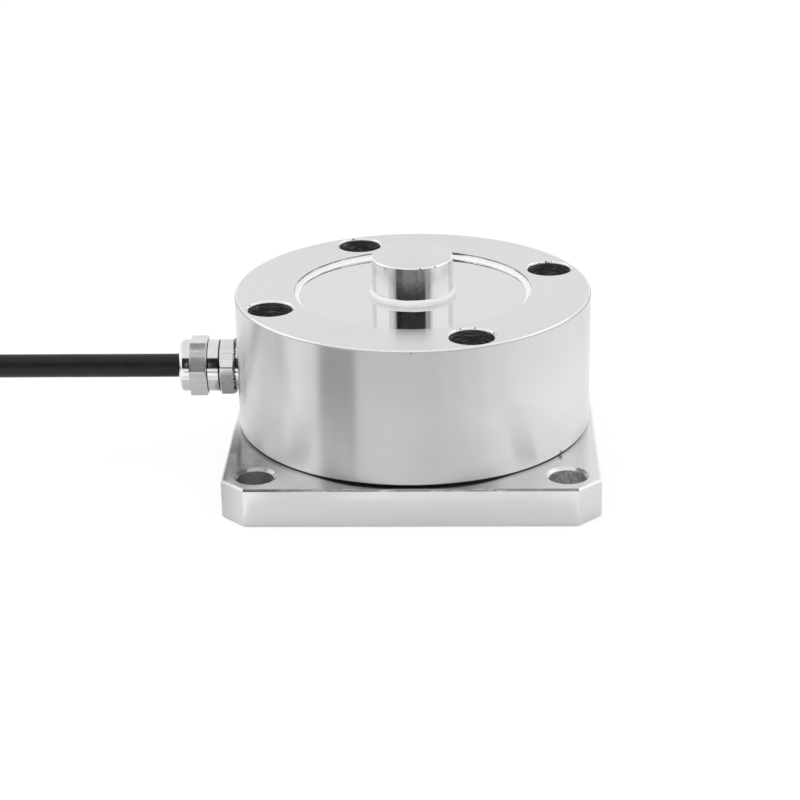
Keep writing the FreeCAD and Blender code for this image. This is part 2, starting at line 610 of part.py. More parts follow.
def make_gland():
    """Cable gland: washer, body, rubber bush, pressure ring and nut."""
    turn_profile(gland_body_frame("gland_washer"), "washer", [
        (PORT_FLAT, SHANK_BORE), (HEX_START, SHANK_BORE),
        (HEX_START, WASHER_RADIUS), (PORT_FLAT, WASHER_RADIUS),
    ], "H_Axis")
    seat = "sizes.seal_diameter / 2 + sizes.thread_clearance"
    nut_thread = "sizes.nut_thread_diameter / 2"
    body = gland_body_frame("gland_body")
    turn_profile(body, "gland_blank", [
        (SHANK_END, CABLE_BORE), (SEAL_SEAT, CABLE_BORE), (SEAL_SEAT, seat), (THREAD_END, seat),
        (THREAD_END, nut_thread), (HEX_END, nut_thread), (HEX_END, HEX_FACE_RADIUS),
        (f"{HEX_END} - sizes.hex_chamfer", HEX_CORNER_RADIUS),
        (f"{HEX_START} + sizes.hex_chamfer", HEX_CORNER_RADIUS),
        (HEX_START, HEX_FACE_RADIUS), (HEX_START, SHANK_RADIUS), (SHANK_END, SHANK_RADIUS),
    ], "H_Axis")
    cut_flats(body, "gland_flats", HEX_END, "sizes.gland_hex_length", "sizes.gland_hex_turn")
    grip = f"{CABLE_RADIUS} + sizes.thread_clearance"
    bush = "sizes.seal_diameter / 2"
    turn_profile(gland_body_frame("gland_seal"), "bush", [
        (SEAL_SEAT, grip), (SEAL_END, grip), (SEAL_END, bush), (SEAL_SEAT, bush),
    ], "H_Axis")
    nut_bore = f"{nut_thread} + sizes.thread_clearance"
    claw = f"{nut_bore} - sizes.claw_gap"
    turn_profile(gland_body_frame("gland_claw"), "pressure_ring", [
        (SEAL_END, CABLE_BORE), (CLAW_END, CABLE_BORE), (CLAW_END, claw), (SEAL_END, claw),
    ], "H_Axis")
    make_gland_nut(nut_bore)


def make_gland_nut(bore):
    """Nut with a round collar, a hexagon and a rounded end round the cable."""
    nut_round = "sizes.nut_round_diameter / 2"
    body = gland_body_frame("gland_nut")
    turn_profile(body, "nut_blank", [
        (NUT_START, bore), (CLAW_END, bore), (CLAW_END, CABLE_BORE), (NUT_END, CABLE_BORE),
        (NUT_END, f"{nut_round} - sizes.nut_end_radius", "ccw", "sizes.nut_end_radius"),
        (f"{NUT_END} - sizes.nut_end_radius", nut_round), (NUT_HEX_END, nut_round),
        (NUT_HEX_END, HEX_CORNER_RADIUS), (f"{COLLAR_END} + sizes.nut_chamfer", HEX_CORNER_RADIUS),
        (COLLAR_END, HEX_FACE_RADIUS), (COLLAR_END, nut_round), (NUT_START, nut_round),
    ], "H_Axis")
    cut_flats(body, "nut_flats", NUT_HEX_END, "sizes.nut_hex_length", "sizes.nut_hex_turn")


def make_tube(label, points, diameter):
    """Round tube along straight runs that are joined by tangent arcs as large as the runs allow."""
    corners = [FreeCAD.Vector(*point) for point in points]
    edges = []
    start = corners[0]
    radii = []
    for before, corner, after in zip(corners, corners[1:], corners[2:]):
        back = before - corner
        onward = after - corner
        reach = ARC_SHARE * min(back.Length, onward.Length)
        half_turn = (math.pi - back.getAngle(onward)) / 2
        radius = reach / math.tan(half_turn)
        radii.append(radius)
        back.normalize()
        onward.normalize()
        inward = (back + onward).normalize()
        middle = corner + inward * radius * (1 / math.cos(half_turn) - 1)
        edges.append(Part.LineSegment(start, corner + back * reach).toShape())
        edges.append(Part.Arc(corner + back * reach, middle, corner + onward * reach).toShape())
        start = corner + onward * reach
    edges.append(Part.LineSegment(start, corners[-1]).toShape())
    path = Part.Wire(edges)
    circle = Part.makeCircle(diameter / 2, corners[0], corners[1] - corners[0])
    shape = path.makePipeShell([Part.Wire([circle])], True, True)
    expected = math.pi * diameter ** 2 / 4 * path.Length
    if abs(shape.Volume / expected - 1) > SWEEP_SHARE:
        raise RuntimeError(f"{label} has {shape.Volume / expected:.3f} of its volume")
    print(label, "length", round(path.Length, 1), "bend radii", [round(radius, 1) for radius in radii])
    tube = doc.addObject("Part::Feature", label)
    tube.Shape = shape
    return keep(tube, label)


def make_inner_leads():
    """Cable cores from the end of the jacket, through the port and down to the terminal board."""
    level = number(GLAND_LEVEL)
    board = number(f"{HUB_FOOT} + sizes.board_thickness")
    board_middle = -number(f"{HUB_RADIUS} + sizes.board_hub_gap + {BOARD_LENGTH} / 2")
    offset = number("sizes.core_spacing / 2")
    for name, side, rise, _ in CORES:
        drop = board_middle + rise * offset
        across = side * offset
        height = level + rise * offset
        make_tube(
            f"inner_lead_{name}",
            [(-number(JACKET_START), across, height), (drop, across, height), (drop, across, board)],
            number("sizes.core_diameter"))


def coil_frame():
    """Centre of the coil, its outermost turn, and the levels of its lowest and highest turns."""
    diameter = number("sizes.cable_diameter")
    slack = number("sizes.coil_slack")
    lead = number("sizes.coil_lead")
    outer_turn = number("sizes.coil_mid_radius") + (COIL_COLUMNS - 1) / 2 * diameter
    low = diameter / 2 + slack
    high = low + (COIL_LAYERS - 1) * diameter
    centre = FreeCAD.Vector(COIL_ENTRY[0] - lead, COIL_ENTRY[1] - outer_turn, 0)
    return centre, outer_turn, low, high


def make_cable():
    """Cable from inside the gland to the coil, and from the coil to its stripped end."""
    diameter = number("sizes.cable_diameter")
    level = number(GLAND_LEVEL)
    centre, outer_turn, low, high = coil_frame()
    first, last = CABLE_POINTS
    make_tube(
        "cable",
        [(-number(JACKET_START), 0, level), (*first, level), (*last, high), (*COIL_ENTRY, high)], diameter)
    start = centre + FreeCAD.Vector(number("sizes.coil_lead"), -outer_turn, low)
    tail = [start] + [start + FreeCAD.Vector(across, along, 0) for across, along in TAIL_STEPS]
    make_tube("cable_tail", [tuple(point) for point in tail], diameter)
    make_cores(tail[-1], (tail[-1] - tail[-2]).normalize())


def make_cores(end, ahead):
    """Stripped cores that fan out from the jacket's end and come down to the floor."""
    aside = FreeCAD.Vector(ahead.y, -ahead.x, 0)
    offset = number("sizes.core_spacing / 2")
    diameter = number("sizes.core_diameter")
    floor = diameter / 2
    for name, side, rise, spread in (*CORES, SCREEN):
        root = end + aside * side * offset + FreeCAD.Vector(0, 0, rise * offset)
        points = [tuple(root)]
        for step, share in zip(CORE_STEPS, CORE_SHARES):
            point = root + ahead * step + aside * spread * share
            point.z = root.z + (floor - root.z) * share
            points.append(tuple(point))
        make_tube(f"core_{name}", points, diameter)


def coil_section(margin):
    """Eight-sided section of the coil's bundle of turns, pulled in by a margin."""
    radial = f"(sizes.cable_diameter * {COIL_COLUMNS / 2} + sizes.coil_slack - {margin})"
    inner = f"(sizes.coil_mid_radius - {radial})"
    outer = f"(sizes.coil_mid_radius + {radial})"
    top = f"(sizes.cable_diameter * {COIL_LAYERS} + 2 * sizes.coil_slack - {margin})"
    foot = f"({margin})"
    corner = "sizes.coil_chamfer"
    return [
        (f"{inner} + {corner}", foot), (f"{outer} - {corner}", foot), (outer, f"{foot} + {corner}"),
        (outer, f"{top} - {corner}"), (f"{outer} - {corner}", top), (f"{inner} + {corner}", top),
        (inner, f"{top} - {corner}"), (inner, f"{foot} + {corner}"),
    ]


def make_coil():
    """Bundle of turns with its two straight leads, and the tie sunk flush round it."""
    centre, outer_turn, low, high = coil_frame()
    rings = []
    for name, margin in (("coil_ring", "0"), ("coil_core", "sizes.tie_thickness")):
        ring = doc.addObject("PartDesign::Body", name)
        turn_profile(ring, f"{name}_turns", coil_section(margin))
        ring.Placement.Base = centre
        rings.append(ring)
    slab = add_box(
        "tie_slab", "2 * sizes.coil_mid_radius", "sizes.tie_width",
        f"sizes.cable_diameter * {COIL_LAYERS} + 2 * sizes.coil_slack")
    turn = FreeCAD.Rotation(FreeCAD.Vector(0, 0, 1), number("sizes.tie_angle"))
    corner = turn.multVec(FreeCAD.Vector(0, -number("sizes.tie_width") / 2, 0))
    slab.Placement = FreeCAD.Placement(centre + corner, turn)
    slice_of_coil = doc.addObject("Part::Common", "tie_slice")
    slice_of_coil.Base = rings[0]
    slice_of_coil.Tool = slab
    tie = doc.addObject("Part::Cut", "coil_tie")
    tie.Base = slice_of_coil
    tie.Tool = rings[1]
    keep(tie, "coil_tie")
    leads = []
    along = FreeCAD.Rotation(FreeCAD.Vector(0, 0, 1), FreeCAD.Vector(1, 0, 0))
    starts = (FreeCAD.Vector(0, outer_turn, high), FreeCAD.Vector(0, -outer_turn, low))
    for name, place in zip(("lead_in", "lead_out"), starts):
        lead = doc.addObject("Part::Cylinder", name)
        lead.setExpression("Radius", CABLE_RADIUS)
        lead.setExpression("Height", "sizes.coil_lead")
        lead.Placement = FreeCAD.Placement(centre + place, along)
        leads.append(lead)
    bundle = doc.addObject("Part::MultiFuse", "coil_bundle")
    bundle.Shapes = [rings[0]] + leads
    coil = doc.addObject("Part::Cut", "cable_coil")
    coil.Base = bundle
    coil.Tool = tie
    keep(coil, "cable_coil")


def check_and_write():
    """Stop on any failed object or bad shape, then write one file for each sub-part."""
    doc.recompute()
    for item in doc.Objects:
        if "Invalid" in item.State or "Error" in item.State:
            raise RuntimeError(f"{item.Label} failed: {item.State}")
    for node in nodes:
        if node.Shape.isNull() or not node.Shape.isValid() or not node.Shape.Solids:
            raise RuntimeError(f"{node.Label} has no valid solid")
    os.makedirs("parts", exist_ok=True)
    for node in nodes:
        node.Shape.exportStep(f"parts/{node.Label}.step")


make_base_plate()
make_spring_body()
make_base_screws()
make_load_button()
make_covers()
make_seals()
make_strain_gauges()
make_terminal_board()
make_inner_leads()
make_gland()
make_cable()
make_coil()
check_and_write()
print(len(nodes), "sub-parts written")
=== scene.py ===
"""Dresses a low profile load cell: its cable, sealant, gland, finishes and a plain white studio."""

import math

import bpy
import numpy as np
from bpy.props import FloatProperty, FloatVectorProperty, IntProperty, PointerProperty
from mathutils import Matrix, Vector


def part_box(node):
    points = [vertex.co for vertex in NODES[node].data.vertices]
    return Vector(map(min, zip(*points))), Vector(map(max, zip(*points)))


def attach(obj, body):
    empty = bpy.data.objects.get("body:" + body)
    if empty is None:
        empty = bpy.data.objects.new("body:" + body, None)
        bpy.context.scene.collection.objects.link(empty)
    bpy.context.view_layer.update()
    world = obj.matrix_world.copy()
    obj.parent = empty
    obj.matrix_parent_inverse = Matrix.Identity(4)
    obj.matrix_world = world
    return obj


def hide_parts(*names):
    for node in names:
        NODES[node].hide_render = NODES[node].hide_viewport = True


bl_info = {
    "name": "Low profile load cell",
    "version": (1, 0, 0),
    "blender": (4, 5, 0),
    "location": "3D View > Sidebar > Load Cell",
    "description": "Builds the visible pieces, finishes and studio of a low profile load cell",
    "category": "Object",
}

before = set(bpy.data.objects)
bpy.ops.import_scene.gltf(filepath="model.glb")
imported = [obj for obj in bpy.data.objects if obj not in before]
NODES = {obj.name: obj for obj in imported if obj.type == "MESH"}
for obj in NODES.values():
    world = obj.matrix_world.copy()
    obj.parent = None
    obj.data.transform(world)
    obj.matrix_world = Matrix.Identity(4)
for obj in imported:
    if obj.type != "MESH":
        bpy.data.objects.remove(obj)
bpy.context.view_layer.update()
BODY = "root"
MILLIMETRE = 0.001

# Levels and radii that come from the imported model
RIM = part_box("spring_body")[1].z
BODY_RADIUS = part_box("spring_body")[1].x
COVER_FOOT, COVER_TOP = (corner.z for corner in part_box("top_cover"))
COVER_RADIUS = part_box("top_cover")[1].x
RECESS_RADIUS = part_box("rim_seal")[1].x
BUTTON_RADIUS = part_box("load_button")[1].x
BUTTON_FOOT, BUTTON_TOP = (corner.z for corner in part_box("load_button"))
NUT_END, NUT_START = (-corner.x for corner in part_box("gland_nut"))
THREAD_END, SHANK_END = (-corner.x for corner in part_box("gland_body"))
GLAND_LEVEL = sum(corner.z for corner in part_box("gland_washer")) / 2
GLAND_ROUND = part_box("gland_washer")[1].z - GLAND_LEVEL
GLAND_START = -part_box("gland_washer")[0].x
BASE_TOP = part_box("base_plate")[1].z
BASE_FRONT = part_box("base_plate")[0].y

# Screw wells, base holes and chamfered edges that the steel finishes follow, and how softly they stop there
WELL_CIRCLE = 0.038
WELL_RADIUS = 0.0055
WELL_MOUTH = 0.0005
WELL_TURN = math.radians(-23)
HOLE_PLACE = 0.038
HOLE_RADIUS = 0.0045
BODY_EDGE = 0.0005
BASE_EDGE = 0.0005
MASK_EDGE = 0.00006

# Where painted shade on the wall begins, where deeper painted shade in the recess sets in, and where the
# foot's painted shadow line lifts
HIGH_WALL = 0.024
RECESS_SHADE_FRONT = (-0.016, -0.024)
FOOT_SHADOW_FRONT = (-0.036, -0.0435)
FOOT_SHADOW_LIFT = 0.0004

# Hidden inner sizes of the gland
NUT_BORE = 0.00555
CLAW_DEPTH = 0.0025
SEAT_DEPTH = 0.0072
SEAT_RADIUS = 0.00465
THREAD_RADIUS = 0.0055
SHANK_RADIUS = 0.006
CABLE_CLEARANCE = 0.0003

# Softening of the gland's corners, powers of the means that ease its hexagons and join them to an outline,
# the share of the flats' reach at which an outline meets them, and the run before the nut's rounded end
GLAND_CORNER = 0.00006
HEXAGON_POWER = 220
OUTLINE_POWER = 300
MEETING_SHARE = 0.93
NUT_END_RUN = 0.0002

# Power of the sine and cosine that draw the button's edge: a round edge at 1, a chamfer at 2
EDGE_POWER = 1.7

# Marks: specks of wear on the button's edge, a scratch on the cover, nicks on the body, and a patch of painted
# shade on the base
BUTTON_MARKS = (((0.0022, -0.0100, 0.0535), 0.00030), ((0.0058, -0.0084, 0.0534), 0.00032))
SCRATCH_SHIFT = (-0.00203, -0.0015, -0.0022)
SCRATCH_STRETCH = (0.14, 1, 0.05)
SCRATCH_WIDTH = 0.00022
BODY_NICKS = (((0.0368, -0.0257, 0.0105), 0.0010), ((0.0006, -0.0450, 0.0446), 0.00028),
              ((0.0440, -0.0075, 0.0448), 0.00030))
SHADED_SPOT = (-0.0465, -0.024, BASE_TOP)
SHADED_SPOT_RADIUS = 0.024

# Steps round a full turn of a lathe piece, and steps of a softened corner
TURN_STEPS = 288
CORNER_STEPS = 5

# Route of the cable before and after its coil, in metres
CABLE_START = (
    (-0.038, 0.0, 0.0243), (-0.098, 0.0, 0.0243), (-0.124, 0.0, 0.0243),
    (-0.165, 0.0435, 0.0211), (-0.195, 0.0435, 0.0211),
)
CABLE_TAIL = (
    (-0.195, -0.0435, 0.0031), (-0.179, -0.0435, 0.0031),
    (-0.161, -0.0385, 0.0031), (-0.147, -0.0305, 0.0031),
)

# How far the tie draws the coil's section together and over what angle, and the gap under the tie
TIE_SQUEEZE = 0.115
TIE_SPREAD = math.radians(12)
TIE_GAP = 0.0001

# Each core: its side and height in the cable in half spacings, and how far its free end spreads
CORES = (
    ("red", -1, -1, -0.0090), ("green", -1, 1, -0.0045),
    ("white", 1, 1, 0.0045), ("black", 1, -1, 0.0090),
)
SCREEN_SPREAD = 0.0005
INSULATED_SHARE = 0.8
CORE_STEPS = (0.0, 0.009, 0.019, 0.030)
CORE_SHARES = (0.0, 0.0, 0.4, 1.0)

# Rim sealant: where its front begins and how softly, how much lower and narrower it is there, and the angle,
# width and depth of its sags
FRONT_START = 0.35
FRONT_BLEND = 0.40
FRONT_DROP = 0.75
FRONT_NARROW = 0.65
SAGS = ((math.radians(69), math.radians(6), 0.35), (math.radians(50), math.radians(5), 0.15))

# Studio: the floor, distances of the far cards and of the hoods round the gland, heights of the cards on the
# floor, levels that no card reaches, and the bounces of light that show a card
FLOOR_REACH = 4
FLOOR_LEVEL = -0.0001
FAR = 1.6
HOOD = 0.04
HOOD_DEPTH = 0.010
HOOD_SOFTNESS = 0.002
HOOD_SHIFT = 0.0041
HOOD_END = 0.130
SECTOR_LIFT = 0.0003
CARD_LIFT = 0.0004
NEVER_FADES = (1, 2)
ANY_BOUNCE = (0.5, 99)
FIRST_BOUNCE = (0.5, 1.5)
LATER_BOUNCES = (1.5, 99)


def length(name, description, default):
    """Property for a length in metres."""
    return FloatProperty(name=name, description=description, default=default, unit="LENGTH", precision=5)


def turn(name, description, degrees):
    """Property for an angle."""
    return FloatProperty(name=name, description=description, default=math.radians(degrees), subtype="ANGLE")


def colour(name, description, default):
    """Property for a colour."""
    return FloatVectorProperty(
        name=name, description=description, default=default, size=3, min=0, max=1, subtype="COLOR")


class LoadCellView(bpy.types.PropertyGroup):
    """Camera that the picture is taken with."""

    target: FloatVectorProperty(
        name="Target", description="Point that the camera looks at", unit="LENGTH", precision=5,
        default=(-0.00351, -0.00381, 0.01594))
    distance: length("Distance", "From the target to the camera", 0.56703)
    azimuth: turn("Azimuth", "Camera's turn about the upright axis", 1.832)
    pitch: turn("Pitch", "Camera's height above the horizon", 22.192)
    roll: turn("Roll", "Camera's turn about its own axis", -0.911)
    lens: FloatProperty(name="Lens", description="Focal length", default=99.44, unit="CAMERA")


class LoadCellSizes(bpy.types.PropertyGroup):
    """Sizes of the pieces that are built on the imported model."""

    crown: length("Crown", "Radius of the load button's crown", 0.160)
    button_edge: length("Button edge", "Rounding of the load button's edge", 0.0003)
    stud: length("Stud", "Radius of the button's stud", 0.006)
    cover_rise: length("Cover rise", "Height of the cover's top above its packed solid", 0.00125)
    cover_gap: length("Cover gap", "Gap between the cover and the button", 0.0005)
    button_seal: length("Button seal", "Width of the sealant round the button", 0.00078)
    button_seal_rise: length("Button seal rise", "Height of that sealant above the cover", 0.0015)
    rim_seal: length("Rim seal", "Width of the sealant inside the rim", 0.0012)
    rim_seal_drop: length("Rim seal drop", "From the rim down to the sealant", 0.00022)
    seal_wave: length("Sealant wave", "Unevenness of the hand-laid sealant", 0.00006)
    hexagon: length("Hexagon", "Half the width across the gland's flats", 0.007)
    hexagon_face: length("Hexagon face", "Radius of the round face on a hexagon", 0.0068)
    collar: length("Collar", "Length of the nut's round collar", 0.0029)
    nut_hexagon: length("Nut hexagon", "Length of the nut's hexagon", 0.0045)
    gland_hexagon: length("Gland hexagon", "Length of the gland body's hexagon", 0.0040)
    gland_chamfer: length("Gland chamfer", "Length of the chamfers on the gland body's corners", 0.0005)
    nut_chamfer: length("Nut chamfer", "Length of the chamfer on the nut's corners", 0.0003)
    gland_turn: turn("Gland turn", "Turn of the gland body's corner above the level", 15.4)
    nut_turn: turn("Nut turn", "Turn of the nut's corner above the level", 7.7)
    nut_end_round: length("Nut end", "Rounding of the nut's end at the cable", 0.0012)
    cable: length("Cable", "Diameter of the cable", 0.006)
    cable_length: length("Cable length", "Whole length of the cable", 3.0)
    coil_radius: length("Coil", "Radius at the middle of the coil's turns", 0.0375)
    coil_centre: FloatVectorProperty(
        name="Coil centre", description="Middle of the coil on the floor", size=2, unit="LENGTH", precision=5,
        default=(-0.219, 0.0))
    coil_columns: IntProperty(name="Coil columns", description="Turns beside each other", default=3)
    coil_layers: IntProperty(name="Coil layers", description="Turns on top of each other", default=4)
    core: length("Core", "Diameter of an insulated core", 0.0013)
    strand: length("Strand", "Diameter of a bare core", 0.0008)
    core_spacing: length("Core spacing", "Distance between cores in the cable", 0.0022)
    tie_turn: turn("Tie turn", "Place of the tie on the coil", 215)
    tie_width: length("Tie width", "Width of the tie", 0.004)
    tie_thickness: length("Tie thickness", "Thickness of the tie", 0.001)


class LoadCellColours(bpy.types.PropertyGroup):
    """Colours of the finishes."""

    satin_steel: colour("Satin steel", "Spring body", (0.81, 0.81, 0.805))
    ground_steel: colour("Ground steel", "Base plate", (0.86, 0.86, 0.85))
    polished_steel: colour("Polished steel", "Load button and cover", (0.82, 0.82, 0.815))
    nickel: colour("Nickel plate", "Gland", (0.86, 0.855, 0.845))
    sealant: colour("Sealant", "White sealant", (0.93, 0.94, 0.955))
    jacket: colour("Jacket", "Cable's jacket and tie", (0.010, 0.010, 0.013))
    red: colour("Red core", "Insulation of the red core", (0.60, 0.03, 0.03))
    green: colour("Green core", "Insulation of the green core", (0.03, 0.30, 0.09))
    white: colour("White core", "Insulation of the white core", (0.80, 0.80, 0.78))
    black: colour("Black core", "Insulation of the black core", (0.02, 0.02, 0.02))
    tin: colour("Tinned strands", "Bare ends and screen", (0.70, 0.68, 0.64))


class LoadCellStage(bpy.types.PropertyGroup):
    """Floor and light of the studio."""

    floor: colour("Floor", "Colour of the floor", (0.90, 0.90, 0.90))
    world: FloatProperty(name="World", description="Strength of the even light from all round", default=1.0)
    mirrored_world: FloatProperty(
        name="Mirrored world", description="Strength of the even light in reflections", default=0.87)
    lamp: FloatProperty(name="Lamp", description="Power of the overhead lamp", default=3.3, unit="POWER")


def settings(name):
    """One of the load cell's settings groups in the running scene."""
    return getattr(bpy.context.scene, f"load_cell_{name}")


# Surfaces on grids

def closed_grid(rows, columns):
    """Quads of a grid that closes on itself both ways."""
    index = np.arange(rows * columns).reshape(rows, columns)
    below = np.roll(index, -1, 0)
    return np.stack((index, np.roll(index, -1, 1), np.roll(below, -1, 1), below), -1).reshape(-1, 4)


def open_grid(rows, columns):
    """Quads of a grid that is open both ways."""
    return closed_grid(rows, columns).reshape(rows, columns, 4)[:-1, :-1].reshape(-1, 4)


def round_grid(rows, columns):
    """Quads of a grid that closes along its rows only."""
    return closed_grid(rows, columns).reshape(rows, columns, 4)[:, :-1].reshape(-1, 4)


def unit(vectors):
    """Vectors scaled to length one."""
    return vectors / np.linalg.norm(vectors, axis=-1, keepdims=True)


def outline(corners, reach, spacing):
    """Closed outline: corners become quadratic curves that start a reach away, runs are cut to a spacing."""
    corner = np.asarray(corners, float)
    start = corner + unit(np.roll(corner, 1, 0) - corner) * reach
    end = corner + unit(np.roll(corner, -1, 0) - corner) * reach
    step = np.linspace(0, 1, CORNER_STEPS)[:, None, None]
    bends = (1 - step) ** 2 * start + 2 * step * (1 - step) * corner + step ** 2 * end
    pieces = []
    for index, run_end in enumerate(np.roll(start, -1, 0)):
        count = max(1, math.ceil(np.linalg.norm(run_end - end[index]) / spacing))
        run = np.linspace(end[index], run_end, count + 1)[1:-1]
        pieces += [bends[:, index], run]
    return np.concatenate(pieces)


def line(first, second):
    """Points of a flat line from its two coordinates."""
    return np.stack(np.broadcast_arrays(first, second), -1)


def arc(centre, radius, first, last, steps):
    """Points on a circle's arc between two angles."""
    angle = np.linspace(first, last, steps)
    return line(centre[0] + radius * np.cos(angle), centre[1] + radius * np.sin(angle))


def full_turn():
    """Evenly spaced angles round a full turn, one to a row."""
    return (np.arange(TURN_STEPS) * 2 * math.pi / TURN_STEPS)[:, None]


def bell(angle, middle, width):
    """Smooth rise round one angle: a bell curve of the shorter way to it."""
    away = (angle - middle + math.pi) % (2 * math.pi) - math.pi
    return np.exp(-(away / width) ** 2)


def eased(value):
    """Smooth step from 0 to 1."""
    value = np.clip(value, 0, 1)
    return value * value * (3 - 2 * value)


def volume_sign(points, faces):
    """Sign of the volume that the faces enclose, from the triple products of their corners."""
    first, second, third, fourth = (points[faces[:, place]] for place in range(4))
    halves = np.cross(second, third) + np.cross(third, fourth)
    return np.sign(np.einsum("ij,ij->i", first, halves).sum())


def put_mesh(name, points, material, faces=None, caps=(), sharp=40):
    """Mesh object of grid points and quads, turned so that its faces point outwards."""
    if faces is None:
        faces = closed_grid(*points.shape[:2])
    points = points.reshape(-1, 3)
    if volume_sign(points, faces) < 0:
        faces = faces[:, ::-1]
        caps = [cap[:, ::-1] for cap in caps]
    mesh = bpy.data.meshes.new(name)
    mesh.from_pydata(points.tolist(), [], faces.tolist() + [face for cap in caps for face in cap.tolist()])
    mesh.materials.append(material)
    mesh.shade_smooth()
    mesh.set_sharp_from_angle(angle=math.radians(sharp))
    mesh.validate()
    return put_object(name, mesh)


def put_object(name, data):
    """New object in the scene."""
    piece = bpy.data.objects.new(name, data)
    bpy.context.scene.collection.objects.link(piece)
    return piece


def settle(piece, slot, *nodes):
    """Let a new piece ride on the part and stand for its nodes; the slot is not used."""
    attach(piece, BODY)
    if nodes:
        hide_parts(*nodes)
    return piece


def dress(node, material):
    """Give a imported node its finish."""
    slots = NODES[node].data.materials
    slots.clear()
    slots.append(material)


def turned(profile, wave=None):
    """Ring about the upright axis: radius and height of the profile at each angle, moved by a wave."""
    angle = full_turn()
    radius, height = profile.T
    if wave is not None:
        radius, height = wave(angle, radius, height)
    return np.stack(np.broadcast_arrays(radius * np.cos(angle), radius * np.sin(angle), height), -1)


def spindle(profile):
    """Solid of revolution: profile from one pole on the axis to the other; each pole closes as a fan."""
    ring = turned(profile[1:-1])
    rows, columns = ring.shape[:2]
    poles = np.array([(0, 0, profile[0, 1]), (0, 0, profile[-1, 1])])
    points = np.concatenate((ring.reshape(-1, 3), poles))
    index = np.arange(rows)
    after = np.roll(index, -1)
    pole = np.full(rows, rows * columns)
    first = np.stack((pole, after * columns, index * columns), -1)
    last = np.stack((pole + 1, (index + 1) * columns - 1, (after + 1) * columns - 1), -1)
    return points, round_grid(rows, columns), (first, last)


# Finishes

def grey(tone):
    """Neutral colour of a tone."""
    return (tone, tone, tone)


class NodeTree:
    """Node tree under way, with the short steps that build it."""

    def __init__(self, tree):
        self.tree = tree

    def feed(self, socket, value):
        """Link a value to an input, or set it there; a plain colour gets its fourth part."""
        if isinstance(value, bpy.types.NodeSocket):
            self.tree.links.new(value, socket)
        elif socket.type == "RGBA":
            socket.default_value = (*value, 1.0)
        else:
            socket.default_value = value

    def node(self, kind, inputs=None, **options):
        """Add a node, set or link its inputs by name or place, and return its outputs."""
        node = self.tree.nodes.new("ShaderNode" + kind)
        for name, value in options.items():
            setattr(node, name, value)
        for key, value in (inputs or {}).items():
            self.feed(node.inputs[key], value)
        return node.outputs

    def calc(self, operation, first, second=0.0):
        """One step of arithmetic."""
        return self.node("Math", {0: first, 1: second}, operation=operation)[0]

    def both(self, first, *more):
        """Product of masks or values."""
        for value in more:
            first = self.calc("MULTIPLY", first, value)
        return first

    def either(self, first, *more):
        """Largest of some masks or values."""
        for value in more:
            first = self.calc("MAXIMUM", first, value)
        return first

    def add(self, first, second):
        """Sum of two values."""
        return self.calc("ADD", first, second)

    def less(self, first, second):
        """First value less the second."""
        return self.calc("SUBTRACT", first, second)

    def spread(self, value, low, high, first=0.0, last=1.0):
        """Map a value from low..high to first..last, clamped and smooth."""
        inputs = {"Value": value, "From Min": low, "From Max": high, "To Min": first, "To Max": last}
        return self.node("MapRange", inputs, interpolation_type="SMOOTHSTEP")["Result"]

    def window(self, value, first, last, soft):
        """Mask that is full between two values."""
        half = (last - first) / 2
        away = self.calc("ABSOLUTE", self.less(value, (first + last) / 2))
        return self.spread(away, half + soft, half)

    def mix(self, factor, first, second):
        """Mix two colours."""
        return self.node("Mix", {0: factor, 6: first, 7: second}, data_type="RGBA")[2]


